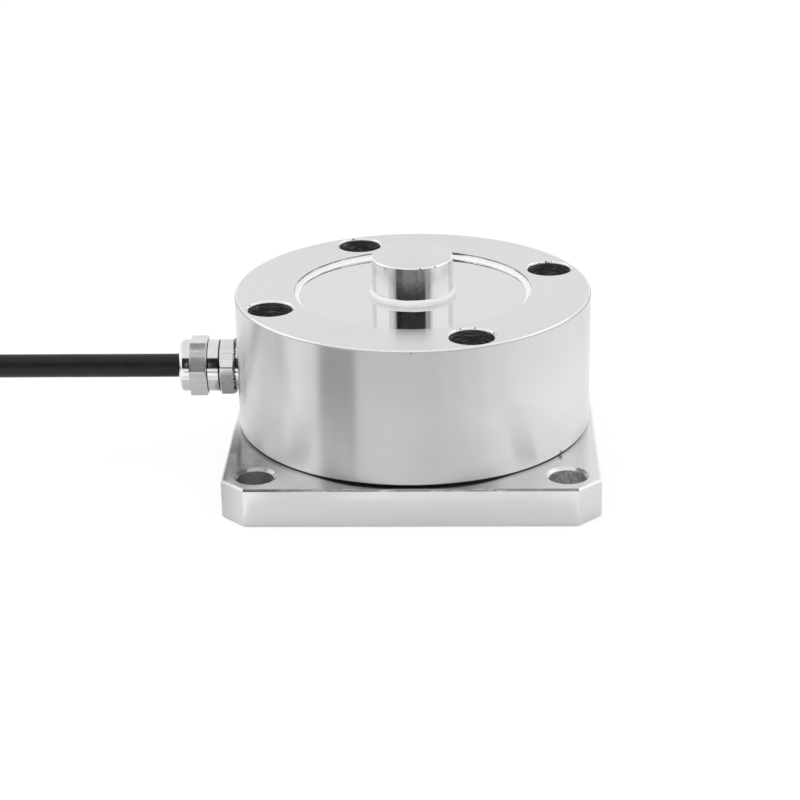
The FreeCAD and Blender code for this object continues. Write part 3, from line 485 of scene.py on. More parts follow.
class Finish(NodeTree):
    """Material of one finish, whose tint is painted in layers over its base colour."""

    def __init__(self, name, base, metallic, roughness, **sockets):
        self.material = bpy.data.materials.new(name)
        self.material.use_nodes = True
        super().__init__(self.material.node_tree)
        self.shader = self.tree.nodes["Principled BSDF"].inputs
        self.base = self.tint = tuple(base)
        even = {"Base_Color": base, "Metallic": metallic, "Roughness": roughness, **sockets}
        for socket, value in even.items():
            self.feed(self.shader[socket.replace("_", " ")], value)
        self.place = self.node("TexCoord")["Object"]
        self.x, self.y, self.z = self.node("SeparateXYZ", {0: self.place})

    def mapped(self, scale=(1, 1, 1), shift=(0, 0, 0), angle=0.0):
        """Object coordinates centred, turned and scaled for a pattern."""
        inputs = {"Vector": self.place, "Location": shift, "Rotation": (0, 0, angle), "Scale": scale}
        return self.node("Mapping", inputs, vector_type="POINT")["Vector"]

    def noise(self, scale, detail, roughness, place=None):
        """Noise from 0 to 1."""
        inputs = {"Vector": place or self.place, "Scale": scale, "Detail": detail, "Roughness": roughness}
        return self.node("TexNoise", inputs)["Fac"]

    def grain(self, scale, detail, roughness):
        """Noise with a scale of its own along each axis."""
        return self.noise(1.0, detail, roughness, self.mapped(scale))

    def away(self, across, along):
        """Distance in plan from two offsets."""
        flat = self.node("CombineXYZ", {0: across, 1: along})[0]
        return self.node("VectorMath", {0: flat}, operation="LENGTH")["Value"]

    def within(self, value, radius, margin):
        """Mask of what lies inside a radius and its margin."""
        return self.spread(value, radius + margin + MASK_EDGE, radius + margin)

    def spot(self, centre, radius, place=None):
        """Mask of a small round mark at a point."""
        gap = self.node("VectorMath", {0: place or self.place, 1: centre}, operation="DISTANCE")["Value"]
        return self.spread(gap, radius, radius * 0.5)

    def lay_round(self, along, across):
        """Place for fine lines round the upright axis, on tops and on sides, and the distance from the axis.

        Reflections are stretched across that lay.
        """
        radius = self.away(self.x, self.y)
        cross = self.both(self.add(radius, self.z), across)
        inputs = {0: self.both(self.x, along), 1: self.both(self.y, along), 2: cross}
        self.feed(self.shader["Tangent"], self.node("Tangent", direction_type="RADIAL", axis="Z")[0])
        return self.node("CombineXYZ", inputs)[0], radius

    def paint(self, mask, tint):
        """Give the masked part another tint."""
        self.tint = self.mix(mask, self.tint, tint)

    def shade(self, mask, share):
        """Take the masked part down to a share of the base colour."""
        self.paint(mask, [part * share for part in self.base])

    def polish(self, roughness):
        """Let a pattern vary the roughness."""
        self.feed(self.shader["Roughness"], roughness)

    def emboss(self, height, strength, distance=0.00002):
        """Feed a height to the shader as a bump."""
        inputs = {"Height": height, "Strength": strength, "Distance": distance}
        self.feed(self.shader["Normal"], self.node("Bump", inputs)[0])

    def done(self):
        """Material with its tint in place."""
        self.feed(self.shader["Base Color"], self.tint)
        return self.material


def satin_steel():
    """Turned and satin polished steel of the spring body.

    Its chamfered edge is painted darker with a painted highlight along its upper half; painted shade darkens
    its screw wells, which keep the lines of the drill, and also the upper wall, the recess and a line along
    the foot.
    """
    steel = Finish("satin_steel", settings("colours").satin_steel, 1.0, 0.3,
                   Anisotropic=1.0, Anisotropic_Rotation=0.25)
    lines, radius = steel.lay_round(12, 1500)
    height = steel.z

    def below(first, last):
        """Mask that grows between two depths below the rim."""
        return steel.spread(height, RIM - first, RIM - last)

    streak = steel.noise(1.0, 3.0, 0.6, lines)
    steel.shade(steel.spread(streak, 0.65, 0.35), 0.985)
    wall = below(0.0001, 0.0004)
    patches = steel.spread(steel.grain((26, 26, 44), 3.0, 0.5), 0.46, 0.66)
    steel.shade(steel.both(wall, patches), 0.93)
    # Painted shade: the upper wall is taken darker towards the rim
    high = steel.spread(height, HIGH_WALL, RIM - 0.0006)
    steel.shade(steel.both(wall, high), 0.90)

    # Chamfered edge, painted darker with a painted highlight along its upper half, and painted highlights on
    # the mouths of the wells
    slope = BODY_RADIUS + RIM - BODY_EDGE
    edge = steel.spread(steel.add(radius, height), slope - 0.00006, slope - 0.00001)
    # Painted shade over the whole chamfer
    steel.shade(edge, 0.75)
    edge_highlight = steel.both(edge, below(0.00030, 0.00022))
    across, along, _ = steel.node("SeparateXYZ", {0: steel.mapped(angle=WELL_TURN)})
    across, along = (steel.calc("ABSOLUTE", part) for part in (across, along))
    outward = steel.less(steel.either(across, along), WELL_CIRCLE)
    from_well = steel.away(outward, steel.calc("MINIMUM", across, along))
    mouth = steel.window(from_well, WELL_RADIUS + 0.00002, WELL_RADIUS + WELL_MOUTH - 0.00002, 0.00004)
    # Painted highlight on the chamfer's upper half and on the wells' mouths
    steel.paint(steel.either(edge_highlight, mouth), grey(0.97))
    flecks = steel.spread(steel.noise(900.0, 2.0, 0.6), 0.61, 0.66)
    steel.paint(steel.both(mouth, flecks), grey(0.10))

    # Painted shade in the wells, then painted shade in the recess round the cover, deepest at its front, the
    # nicks, and a painted shadow line at the foot
    # Painted shade inside the screw wells, lighter along the drill's lines
    inside = steel.both(steel.within(from_well, WELL_RADIUS, 0.00006), below(0.0002, 0.0006))
    tool_lines = steel.grain((330, 330, 2600), 3.0, 0.65)
    steel.paint(inside, steel.mix(steel.spread(tool_lines, 0.46, 0.72), (0.09, 0.09, 0.10), grey(0.42)))
    # Painted shade on the recess wall round the cover; the nicks share its tone
    recess = steel.both(steel.within(radius, RECESS_RADIUS, 0.00006), below(0.00002, 0.00005))
    nicks = [steel.spot(point, size) for point, size in BODY_NICKS]
    steel.paint(steel.either(recess, *nicks), (0.26, 0.26, 0.27))
    # Deeper painted shade towards the recess's front
    steel.paint(steel.both(recess, steel.spread(steel.y, *RECESS_SHADE_FRONT)), grey(0.06))
    # Painted shadow: a dark line along the body's foot, lifting towards the front
    lift = steel.spread(steel.y, *FOOT_SHADOW_FRONT, 0.0, FOOT_SHADOW_LIFT)
    steel.paint(steel.spread(steel.less(height, lift), BASE_TOP + 0.00035, BASE_TOP + 0.00015), grey(0.05))

    wall_polish = steel.spread(steel.noise(55.0, 3.0, 0.55), 0.3, 0.7, 0.36, 0.40)
    polish = steel.less(wall_polish, steel.both(below(0.0003, 0.0001), 0.24))
    steel.polish(steel.add(polish, steel.both(inside, 0.3)))
    steel.emboss(steel.add(streak, steel.both(inside, tool_lines)), 0.008)
    return steel.done()


def ground_steel():
    """Surface-ground steel of the base plate, with a straight lay along its front.

    Its bores are pitted, painted shade darkens its front ridge in broken stretches, and a patch of painted
    shade lies on one side.
    """
    steel = Finish("ground_steel", settings("colours").ground_steel, 1.0, 0.25)
    lay = steel.grain((40, 2600, 2600), 3.0, 0.6)
    cloud = steel.noise(70.0, 4.0, 0.6)
    steel.shade(steel.spread(lay, 0.7, 0.3), 0.97)
    steel.shade(steel.spread(steel.grain((34, 34, 120), 3.0, 0.55), 0.45, 0.68), 0.96)
    from_hole = [steel.less(steel.calc("ABSOLUTE", part), HOLE_PLACE) for part in (steel.x, steel.y)]
    bore = steel.within(steel.away(*from_hole), HOLE_RADIUS, 0.00002)
    pits = steel.spread(steel.noise(1300.0, 3.0, 0.7), 0.35, 0.65)
    steel.paint(bore, steel.mix(pits, (0.52, 0.52, 0.51), (0.90, 0.90, 0.89)))
    # Patch of painted shade on the base's top towards one side
    shaded_spot = steel.spot(SHADED_SPOT, SHADED_SPOT_RADIUS)
    steel.shade(steel.both(shaded_spot, steel.spread(cloud, 0.15, 0.45)), 0.52)
    # Painted shade: a dark line along the front chamfer, in broken stretches
    slope = BASE_TOP - BASE_FRONT - BASE_EDGE
    ridge = steel.spread(steel.less(steel.z, steel.y), slope - 0.00006, slope + 0.00002)
    broken = steel.spread(steel.grain((120, 900, 900), 3.0, 0.7), 0.40, 0.52)
    steel.paint(ridge, steel.mix(broken, (0.56, 0.56, 0.55), grey(0.20)))
    steel.polish(steel.add(steel.spread(cloud, 0.3, 0.7, 0.16, 0.24), steel.both(bore, 0.3)))
    steel.emboss(lay, 0.02)
    return steel.done()


def polished_steel(name, roughness, line_tone, anisotropy=0.0):
    """Polished steel for the next two finishes, its fine turning lines and the distance from its axis."""
    steel = Finish(name, settings("colours").polished_steel, 1.0, roughness,
                   Anisotropic=anisotropy, Anisotropic_Rotation=0.25)
    lines, radius = steel.lay_round(60, 4200)
    streak = steel.noise(1.0, 2.0, 0.6, lines)
    steel.shade(steel.spread(streak, 0.7, 0.3), line_tone)
    return steel, streak, radius


def polished_button():
    """Load button: a satin side with fine grain, a painted highlight along its rounded edge and a few specks
    of wear.
    """
    steel, streak, radius = polished_steel("polished_button", 0.13, 0.96, 1.0)
    sizes = settings("sizes")
    grain = steel.grain((7000, 7000, 9000), 2.0, 0.6)
    side = steel.spread(steel.z, BUTTON_TOP - 0.0008, BUTTON_TOP - 0.0010)
    steel.paint(steel.both(steel.spread(grain, 0.35, 0.75), side), (0.78, 0.78, 0.77))
    # Painted highlight along the button's rounded edge
    rim = BUTTON_RADIUS - sizes.button_edge
    slope = rim + BUTTON_TOP - sizes.crown + math.sqrt(sizes.crown ** 2 - rim ** 2)
    steel.paint(steel.spread(steel.add(radius, steel.z), slope - 0.00008, slope - 0.00003), grey(0.98))
    marks = [steel.spot(point, size) for point, size in BUTTON_MARKS]
    steel.paint(steel.either(*marks), grey(0.10))
    steel.polish(steel.spread(grain, 0.35, 0.70, 0.11, 0.18))
    steel.emboss(streak, 0.03)
    return steel.done()


def mirror_cover():
    """Mirror polished cover plate with one faint scratch."""
    steel, _, _ = polished_steel("mirror_cover", 0.03, 0.99)
    scratch = steel.spot((0, 0, 0), SCRATCH_WIDTH, steel.mapped(SCRATCH_STRETCH, SCRATCH_SHIFT))
    steel.paint(scratch, grey(0.66))
    steel.polish(steel.spread(steel.noise(160.0, 3.0, 0.6), 0.3, 0.7, 0.0276, 0.0324))
    return steel.done()


def nickel_plate():
    """Bright nickel plate of the gland: turning lines on its round parts, drawn lines along its hexagons.

    Painted shade darkens its seams, the end at the body in patches and, in mottled patches, the lower faces of
    the body's hexagon.
    """
    nickel = Finish("nickel_plate", settings("colours").nickel, 1.0, 0.14)
    sizes = settings("sizes")
    collar_end = NUT_START + sizes.collar
    station = nickel.both(nickel.x, -1.0)

    def band(first, last, soft):
        """Mask that is full between two stations along the gland."""
        return nickel.window(station, first, last, soft)

    turning = nickel.grain((5200, 60, 60), 2.0, 0.6)
    drawing = nickel.grain((50, 2300, 2300), 2.0, 0.6)
    cloud = nickel.noise(420.0, 4.0, 0.65)
    mottle = nickel.noise(1500.0, 3.0, 0.7)
    body_hexagon = band(GLAND_START, GLAND_START + sizes.gland_hexagon, 0.0001)
    hexagons = nickel.either(band(collar_end, collar_end + sizes.nut_hexagon, 0.0001), body_hexagon)
    nickel.shade(nickel.spread(cloud, 0.35, 0.7), 0.92)
    nickel.shade(nickel.both(nickel.spread(drawing, 0.42, 0.62), hexagons), 0.86)
    # Painted shade on the lower faces of the body's hexagon, in mottled patches
    low = nickel.both(body_hexagon, nickel.spread(nickel.z, GLAND_LEVEL + 0.001, GLAND_LEVEL - 0.001))
    nickel.shade(nickel.both(low, nickel.spread(mottle, 0.4, 0.65)), 0.72)
    # Painted shade in the seams and, in patches, at the end by the body
    collar_seam = band(collar_end - 0.00008, collar_end + 0.00008, 0.00006)
    nut_seam = band(NUT_START - 0.00010, NUT_START + 0.00010, 0.00006)
    end_shade = nickel.both(band(GLAND_START - 0.0002, GLAND_START + 0.0003, 0.0002),
                          nickel.spread(mottle, 0.40, 0.50))
    nickel.paint(nickel.either(collar_seam, nut_seam, end_shade), (0.09, 0.08, 0.07))
    nickel.polish(nickel.spread(cloud, 0.3, 0.7, 0.06, 0.14))
    round_lines = nickel.both(turning, nickel.less(1.0, hexagons))
    nickel.emboss(nickel.add(nickel.both(drawing, hexagons), round_lines), 0.08)
    return nickel.done()


def white_sealant():
    """Cured white sealant: smooth, a little waxy, with a faint unevenness."""
    sealant = Finish("white_sealant", settings("colours").sealant, 0.0, 0.35)
    cloud = sealant.noise(130.0, 3.0, 0.5)
    sealant.shade(sealant.spread(cloud, 0.3, 0.75), 0.96)
    sealant.polish(sealant.spread(cloud, 0.3, 0.7, 0.28, 0.42))
    sealant.emboss(sealant.noise(900.0, 2.0, 0.5), 0.05, 0.00004)
    return sealant.done()


def moulded(name, base, roughness, grain=1400.0, shine=0.5):
    """Moulded or extruded plastic or rubber with a fine grain."""
    plastic = Finish(name, base, 0.0, roughness, Specular_IOR_Level=shine)
    cloud = plastic.noise(grain * 0.2, 3.0, 0.6)
    plastic.shade(plastic.spread(cloud, 0.7, 0.3), 0.85)
    plastic.polish(plastic.spread(cloud, 0.3, 0.7, roughness * 0.85, roughness * 1.15))
    plastic.emboss(plastic.noise(grain, 2.0, 0.5), 0.2, 0.00003)
    return plastic.done()


def plain_metal(name, base, roughness, scale):
    """Drawn or rolled metal with fine lines and a cloudy polish."""
    metal = Finish(name, base, 1.0, roughness)
    lines = metal.grain(scale, 3.0, 0.6)
    metal.shade(metal.spread(lines, 0.7, 0.3), 0.85)
    metal.polish(metal.spread(lines, 0.3, 0.7, roughness * 0.8, roughness * 1.2))
    metal.emboss(lines, 0.15)
    return metal.done()


# Pieces

class LOADCELL_OT_camera(bpy.types.Operator):
    """Set up the camera"""

    bl_idname = "loadcell.camera"
    bl_label = "Camera"

    def execute(self, context):
        view = settings("view")
        data = bpy.data.cameras.new("camera")
        data.lens = view.lens
        data.sensor_width = 36
        data.dof.use_dof = False
        camera = put_object("camera", data)
        tilt = Matrix.Rotation(math.pi / 2 - view.pitch, 3, "X")
        rotation = Matrix.Rotation(view.azimuth, 3, "Z") @ tilt @ Matrix.Rotation(view.roll, 3, "Z")
        place = Vector(view.target) + rotation @ Vector((0, 0, view.distance))
        camera.matrix_world = Matrix.Translation(place) @ rotation.to_4x4()
        context.scene.camera = camera
        return {"FINISHED"}


def spline_piece(name, points, diameter, material):
    """Round cord along a smooth spline with the route's points as its control points."""
    curve = bpy.data.curves.new(name, "CURVE")
    curve.dimensions = "3D"
    spline = curve.splines.new("NURBS")
    spline.points.add(len(points) - 1)
    spline.points.foreach_set("co", np.insert(np.asarray(points, float), 3, 1, axis=1).ravel())
    spline.order_u = 3
    spline.use_endpoint_u = True
    spline.resolution_u = 8
    curve.bevel_depth = diameter / 2
    curve.bevel_resolution = 6
    curve.use_fill_caps = True
    curve.materials.append(material)
    return put_object(name, curve)


def coil_points(sizes, steps=24):
    """Turns of the coil: each turn keeps its column and layer and moves to the next over its last third.

    Near the tie the section shrinks towards its middle. Control points lie outside the circle by the amount
    that the spline cuts their corners.
    """
    columns, layers = sizes.coil_columns, sizes.coil_layers
    column = np.arange(columns) - (columns - 1) / 2
    order = [column[::-1] if layer % 2 == 0 else column for layer in range(layers)]
    slot_radius = sizes.coil_radius + sizes.cable * np.concatenate(order)
    low = CABLE_TAIL[0][2]
    slot_level = low + sizes.cable * np.repeat(np.arange(layers)[::-1], columns)
    turns = columns * layers - 0.5
    place = np.arange(1, turns * steps) / steps
    slot = np.floor(place).astype(int)
    after = np.minimum(slot + 1, columns * layers - 1)
    move = eased((place - slot - 2 / 3) * 3)
    radius = slot_radius[slot] * (1 - move) + slot_radius[after] * move
    level = slot_level[slot] * (1 - move) + slot_level[after] * move
    angle = math.pi / 2 + 2 * math.pi * place
    squeeze = 1 - TIE_SQUEEZE * bell(angle, sizes.tie_turn, TIE_SPREAD)
    middle = low + sizes.cable * (layers - 1) / 2
    radius = sizes.coil_radius + (radius - sizes.coil_radius) * squeeze
    level = middle + (level - middle) * squeeze
    radius = radius / (0.75 + 0.25 * math.cos(2 * math.pi / steps))
    across, along = sizes.coil_centre
    return np.stack((across + radius * np.cos(angle), along + radius * np.sin(angle), level), -1)


class LOADCELL_OT_cable(bpy.types.Operator):
    """Lay the cable with its coil, tie and stripped cores"""

    bl_idname = "loadcell.cable"
    bl_label = "Cable"

    def execute(self, context):
        sizes = settings("sizes")
        colours = settings("colours")
        jacket = moulded("cable_jacket", colours.jacket, 0.42, shine=0.3)
        turns = coil_points(sizes)
        centre = np.array((*sizes.coil_centre, 0))
        outer = sizes.coil_radius + sizes.cable * (sizes.coil_columns - 1) / 2
        entry = centre + (0, outer, CABLE_START[-1][2])
        leave = centre + (0, -outer, CABLE_TAIL[0][2])
        route = np.concatenate((CABLE_START, [entry], turns, [leave], CABLE_TAIL))
        cable = spline_piece("cable_run", route, sizes.cable, jacket)
        settle(cable, "cable_jacket", "cable", "cable_coil", "cable_tail")
        cores = strip_cores(sizes, colours)
        tie = fit_tie(sizes, moulded("tie_plastic", colours.jacket, 0.5))
        return {"FINISHED"}


def strip_cores(sizes, colours):
    """Bare strands along each core's route, with insulation that stops short of their ends."""
    end = np.array(CABLE_TAIL[-1])
    ahead = unit(end - np.array(CABLE_TAIL[-2]))
    aside = np.array((ahead[1], -ahead[0], 0))
    up = np.array((0, 0, 1))
    step = np.array(CORE_STEPS)[:, None]
    part = np.array(CORE_SHARES)[:, None]
    offset = sizes.core_spacing / 2
    tin = plain_metal("tinned_copper", colours.tin, 0.35, (2500, 2500, 2500))
    pieces = []
    for name, side, rise, fan in (*CORES, ("screen", 0, 0, SCREEN_SPREAD)):
        root = end + aside * side * offset + up * rise * offset
        drop = sizes.core / 2 - root[2]
        points = root + ahead * step + aside * fan * part + up * drop * part
        if name == "screen":
            strand = spline_piece("screen_strands", points, sizes.core, tin)
            pieces.append(settle(strand, "tinned_copper", "core_screen"))
            continue
        strand = spline_piece(f"strands_{name}", points, sizes.strand, tin)
        pieces.append(settle(strand, "tinned_copper"))
        insulation = moulded(f"core_{name}", getattr(colours, name), 0.3, 900.0)
        cover = spline_piece(f"insulation_{name}", points, sizes.core, insulation)
        cover.data.bevel_factor_end = INSULATED_SHARE
        pieces.append(settle(cover, f"core_{name}", f"core_{name}"))
    return pieces


def rectangle(left, low, right, high):
    """Corners of an upright rectangle, in order."""
    return [(left, low), (right, low), (right, high), (left, high)]


def fit_tie(sizes, material):
    """Band round the coil's section: a flat strip carried along a rounded rectangle."""
    turns = np.array((sizes.coil_columns, sizes.coil_layers))
    half_across, half_up = sizes.cable * turns / 2 * (1 - TIE_SQUEEZE) + TIE_GAP
    middle = CABLE_TAIL[0][2] + sizes.cable * (sizes.coil_layers - 1) / 2
    path = outline(rectangle(-half_across, -half_up, half_across, half_up), reach=0.0024, spacing=0.0008)
    onward = unit(np.roll(path, -1, 0) - np.roll(path, 1, 0))
    outward = line(onward[:, 1], -onward[:, 0])
    half = sizes.tie_width / 2
    strip = outline(rectangle(0, -half, sizes.tie_thickness, half), reach=0.0002, spacing=0.001)
    flat = path[:, None, :] + outward[:, None, :] * strip[None, :, :1]
    side = np.broadcast_to(strip[None, :, 1], flat.shape[:2])
    radial = np.array((math.cos(sizes.tie_turn), math.sin(sizes.tie_turn), 0))
    tangent = np.array((-radial[1], radial[0], 0))
    centre = np.array((*sizes.coil_centre, middle)) + radial * sizes.coil_radius
    points = centre + flat[..., :1] * radial + side[..., None] * tangent + flat[..., 1:] * np.array((0, 0, 1))
    return settle(put_mesh("coil_tie_band", points, material), "tie_plastic", "coil_tie")


class LOADCELL_OT_button(bpy.types.Operator):
    """Turn the load button"""

    bl_idname = "loadcell.button"
    bl_label = "Load button"

    def execute(self, context):
        # Section from the top: the crown's arc, an edge between round and chamfered, a straight side, the stud
        sizes = settings("sizes")
        edge = sizes.button_edge
        crown_level = BUTTON_TOP - sizes.crown
        edge_out = BUTTON_RADIUS - edge
        rise = math.sqrt((sizes.crown - edge) ** 2 - edge_out ** 2)
        crown = arc((0, crown_level), sizes.crown, math.pi / 2, math.atan2(rise, edge_out), 24)
        bend = np.linspace(math.pi / 2, 0, 10)
        rounding = line(edge_out + edge * np.cos(bend) ** EDGE_POWER,
                        crown_level + rise + edge * np.sin(bend) ** EDGE_POWER)
        side = line(BUTTON_RADIUS, np.linspace(rounding[-1, 1] - edge / 8, COVER_FOOT, 30))
        foot = [(sizes.stud, COVER_FOOT), (sizes.stud, BUTTON_FOOT), (0, BUTTON_FOOT)]
        points, quads, caps = spindle(np.concatenate((crown, rounding[1:], side, foot)))
        button = put_mesh("button", points, polished_button(), quads, caps)
        settle(button, "polished_steel", "load_button")
        return {"FINISHED"}


class LOADCELL_OT_cover(bpy.types.Operator):
    """Turn the polished cover plate"""

    bl_idname = "loadcell.cover"
    bl_label = "Cover"

    def execute(self, context):
        sizes = settings("sizes")
        bore = BUTTON_RADIUS + sizes.cover_gap
        corners = rectangle(bore, COVER_FOOT, COVER_RADIUS, COVER_TOP + sizes.cover_rise)
        section = outline(corners, reach=0.00015, spacing=0.0015)
        plate = put_mesh("cover_plate", turned(section), mirror_cover())
        settle(plate, "polished_steel", "top_cover")
        return {"FINISHED"}


def uneven(angle, height, level, wave):
    """Sway of hand-laid sealant: three sines round the turn, none at the cover's level, full 1 mm above."""
    sway = np.sin(5 * angle + 0.7) + 0.6 * np.sin(13 * angle + 2.1) + 0.35 * np.sin(31 * angle)
    return wave * sway * np.clip((height - level) / MILLIMETRE, 0, 1)


class LOADCELL_OT_sealant(bpy.types.Operator):
    """Lay the two rings of white sealant"""

    bl_idname = "loadcell.sealant"
    bl_label = "Sealant"

    def execute(self, context):
        sizes = settings("sizes")
        material = white_sealant()
        level = COVER_TOP + sizes.cover_rise

        def wave(angle, radius, height):
            """Both ways uneven."""
            shift = uneven(angle, height, level, sizes.seal_wave)
            return radius + shift, height + 0.5 * shift

        def rim_wave(angle, radius, height):
            """Uneven, low and narrow along the front and with two sags at the back."""
            low = eased((-np.sin(angle) - FRONT_START) / FRONT_BLEND)
            sag = sum(depth * bell(angle, middle, width) for middle, width, depth in SAGS)
            share = 1 - FRONT_DROP * low - sag
            radius, height = wave(angle, radius, height)
            narrow = RECESS_RADIUS - (RECESS_RADIUS - radius) * (1 - FRONT_NARROW * low)
            radius = np.where(radius < COVER_RADIUS, np.minimum(narrow, COVER_RADIUS), radius)
            return radius, np.where(height > level, level + (height - level) * share, height)

        # Rim: a hollow quarter ellipse from the recess's wall down to the cover, over a foot in the gap
        bend = np.linspace(0, math.pi / 2, 14)
        rise = RIM - sizes.rim_seal_drop - level
        hollow = line(RECESS_RADIUS - sizes.rim_seal * (1 - np.cos(bend)), level + rise * (1 - np.sin(bend)))
        foot = [(COVER_RADIUS, COVER_FOOT), (RECESS_RADIUS, COVER_FOOT)]
        rim = np.concatenate((foot, hollow, [(COVER_RADIUS, level)]))
        settle(put_mesh("rim_bead", turned(rim, rim_wave), material), "white_sealant", "rim_seal")

        # Button: a full quarter ellipse from the cover up to the button's side, over a foot in the gap
        bead = line(BUTTON_RADIUS + sizes.button_seal * np.cos(bend),
                    level + sizes.button_seal_rise * np.sin(bend))
        gap = BUTTON_RADIUS + sizes.cover_gap
        ring = np.concatenate(([(BUTTON_RADIUS, COVER_FOOT), (gap, COVER_FOOT), (gap, level)], bead))
        settle(put_mesh("button_bead", turned(ring, wave), material), "white_sealant", "button_seal")
        return {"FINISHED"}


def soft_hexagon(angle, apothem, corner, power):
    """Polar radius of a hexagon whose corners are eased by a power mean of its six sides."""
    sides = corner + math.pi / 6 + np.arange(6) * math.pi / 3
    reach = np.clip(np.cos(angle[..., None] - sides), 0, None) ** power
    return apothem / reach.sum(-1) ** (1 / power)


def gland_piece(name, corners, hexagon_start, hexagon_end, corner, material):
    """Gland piece: an outline of stations and radii turned about the gland's axis, with a hexagonal stretch.

    Between the hexagon's two ends, where the piece is thick enough to meet it, the radius is the soft minimum
    of the outline's and of the hexagon's.
    """
    apothem = settings("sizes").hexagon
    profile = outline(corners, GLAND_CORNER, spacing=0.00035)
    angle = full_turn()
    station = np.broadcast_to(profile[None, :, 0], (TURN_STEPS, len(profile)))
    radius = np.broadcast_to(profile[None, :, 1], station.shape)
    limit = soft_hexagon(angle, apothem, corner, HEXAGON_POWER)
    margin = 0.00001
    inside = (station > hexagon_start - margin) & (station < hexagon_end + margin)
    thick = radius >= apothem * MEETING_SHARE
    held = limit * ((radius / limit) ** -OUTLINE_POWER + 1) ** (-1 / OUTLINE_POWER)
    radius = np.where(inside & thick, held, radius)
    points = np.stack((-station, -radius * np.cos(angle), GLAND_LEVEL + radius * np.sin(angle)), -1)
    return put_mesh(name, points, material, sharp=30)


class LOADCELL_OT_gland(bpy.types.Operator):
    """Build the cable gland's nut, body and washer"""

    bl_idname = "loadcell.gland"
    bl_label = "Gland"

    def execute(self, context):
        sizes = settings("sizes")
        nickel = nickel_plate()
        corner = 2 * sizes.hexagon / math.sqrt(3)
        collar_end = NUT_START + sizes.collar
        hexagon_end = collar_end + sizes.nut_hexagon
        mouth = sizes.cable / 2 + CABLE_CLEARANCE
        claw = NUT_END - CLAW_DEPTH
        rounding = sizes.nut_end_round
        round_end = arc((NUT_END - rounding, GLAND_ROUND - rounding), rounding, 0, math.pi / 2, 9)
        nut = [
            (NUT_START, NUT_BORE), (claw, NUT_BORE), (claw, mouth), (NUT_END, mouth),
            *round_end[1:-1].tolist(), (NUT_END - rounding - NUT_END_RUN, GLAND_ROUND),
            (hexagon_end, GLAND_ROUND), (hexagon_end, corner),
            (collar_end + sizes.nut_chamfer, corner), (collar_end, sizes.hexagon_face),
            (collar_end, GLAND_ROUND), (NUT_START, GLAND_ROUND),
        ]
        piece = gland_piece("nut", nut, collar_end, hexagon_end, sizes.nut_turn, nickel)
        settle(piece, "nickel_plate", "gland_nut")

        start = GLAND_START
        end = start + sizes.gland_hexagon
        seat = THREAD_END - SEAT_DEPTH
        body = [
            (SHANK_END, mouth), (seat, mouth), (seat, SEAT_RADIUS), (THREAD_END, SEAT_RADIUS),
            (THREAD_END, THREAD_RADIUS), (end, THREAD_RADIUS), (end, sizes.hexagon_face),
            (end - sizes.gland_chamfer, corner), (start + sizes.gland_chamfer, corner),
            (start, sizes.hexagon_face), (start, SHANK_RADIUS), (SHANK_END, SHANK_RADIUS),
        ]
        piece = gland_piece("gland_base", body, start, end, sizes.gland_turn, nickel)
        settle(piece, "nickel_plate", "gland_body")
        dress("gland_washer", nickel)
        return {"FINISHED"}


class LOADCELL_OT_steel(bpy.types.Operator):
    """Finish the base plate, the spring body, the bottom cover and the screws"""

    bl_idname = "loadcell.steel"
    bl_label = "Steel finishes"

    def execute(self, context):
        dress("base_plate", ground_steel())
        dress("spring_body", satin_steel())
        dress("bottom_cover", plain_metal("pressed_steel", (0.68, 0.68, 0.67), 0.35, (60, 1800, 60)))
        dress("base_screws", plain_metal("screw_steel", grey(0.55), 0.35, (300, 300, 2200)))
        return {"FINISHED"}


class LOADCELL_OT_inside(bpy.types.Operator):
    """Finish the strain gauges, terminal board, leads and gland filling inside"""

    bl_idname = "loadcell.inside"
    bl_label = "Inside"

    def execute(self, context):
        colours = settings("colours")
        film = moulded("gauge_film", (0.62, 0.38, 0.11), 0.25, 2600.0)
        for number in range(1, 9):
            dress(f"strain_gauge_{number}", film)
        dress("terminal_board", moulded("board_laminate", (0.04, 0.22, 0.09), 0.3, 2200.0))
        dress("trim_resistors", moulded("chip_ceramic", grey(0.07), 0.5, 2600.0))
        dress("gland_seal", moulded("gland_rubber", grey(0.03), 0.6))
        dress("gland_claw", moulded("gland_nylon", (0.78, 0.77, 0.73), 0.4))
        for name, _, _, _ in CORES:
            dress(f"inner_lead_{name}", moulded(f"lead_{name}", getattr(colours, name), 0.3, 900.0))
        return {"FINISHED"}


# Studio

def pale_floor(tone, glow=0.85, white=1.03, mirrored=1.1):
    """Matt floor that glows evenly for the camera, so that it stays pale but keeps a shadow.

    Reflections show it brighter than it is by a factor.
    """
    material = bpy.data.materials.new("floor")
    material.use_nodes = True
    floor = NodeTree(material.node_tree)
    floor.tree.nodes.clear()
    path = floor.node("LightPath")
    seen = floor.either(path["Is Camera Ray"], path["Is Transmission Ray"])
    bright = floor.mix(path["Is Glossy Ray"], tone, [part * mirrored for part in tone])
    matt = floor.node("BsdfDiffuse", {"Color": bright})[0]
    even = floor.node("Emission", {"Color": grey(1), "Strength": white})[0]
    surface = floor.node("MixShader", {0: floor.both(seen, glow), 1: matt, 2: even})[0]
    floor.node("OutputMaterial", {"Surface": surface})
    return material


def level_sheet(low, high, level):
    """Grid of a level rectangle's corners: each of two places across with each of two along."""
    across, along = np.meshgrid((low[0], high[0]), (low[1], high[1]), indexing="ij")
    return np.stack(np.broadcast_arrays(across, along, level), -1)


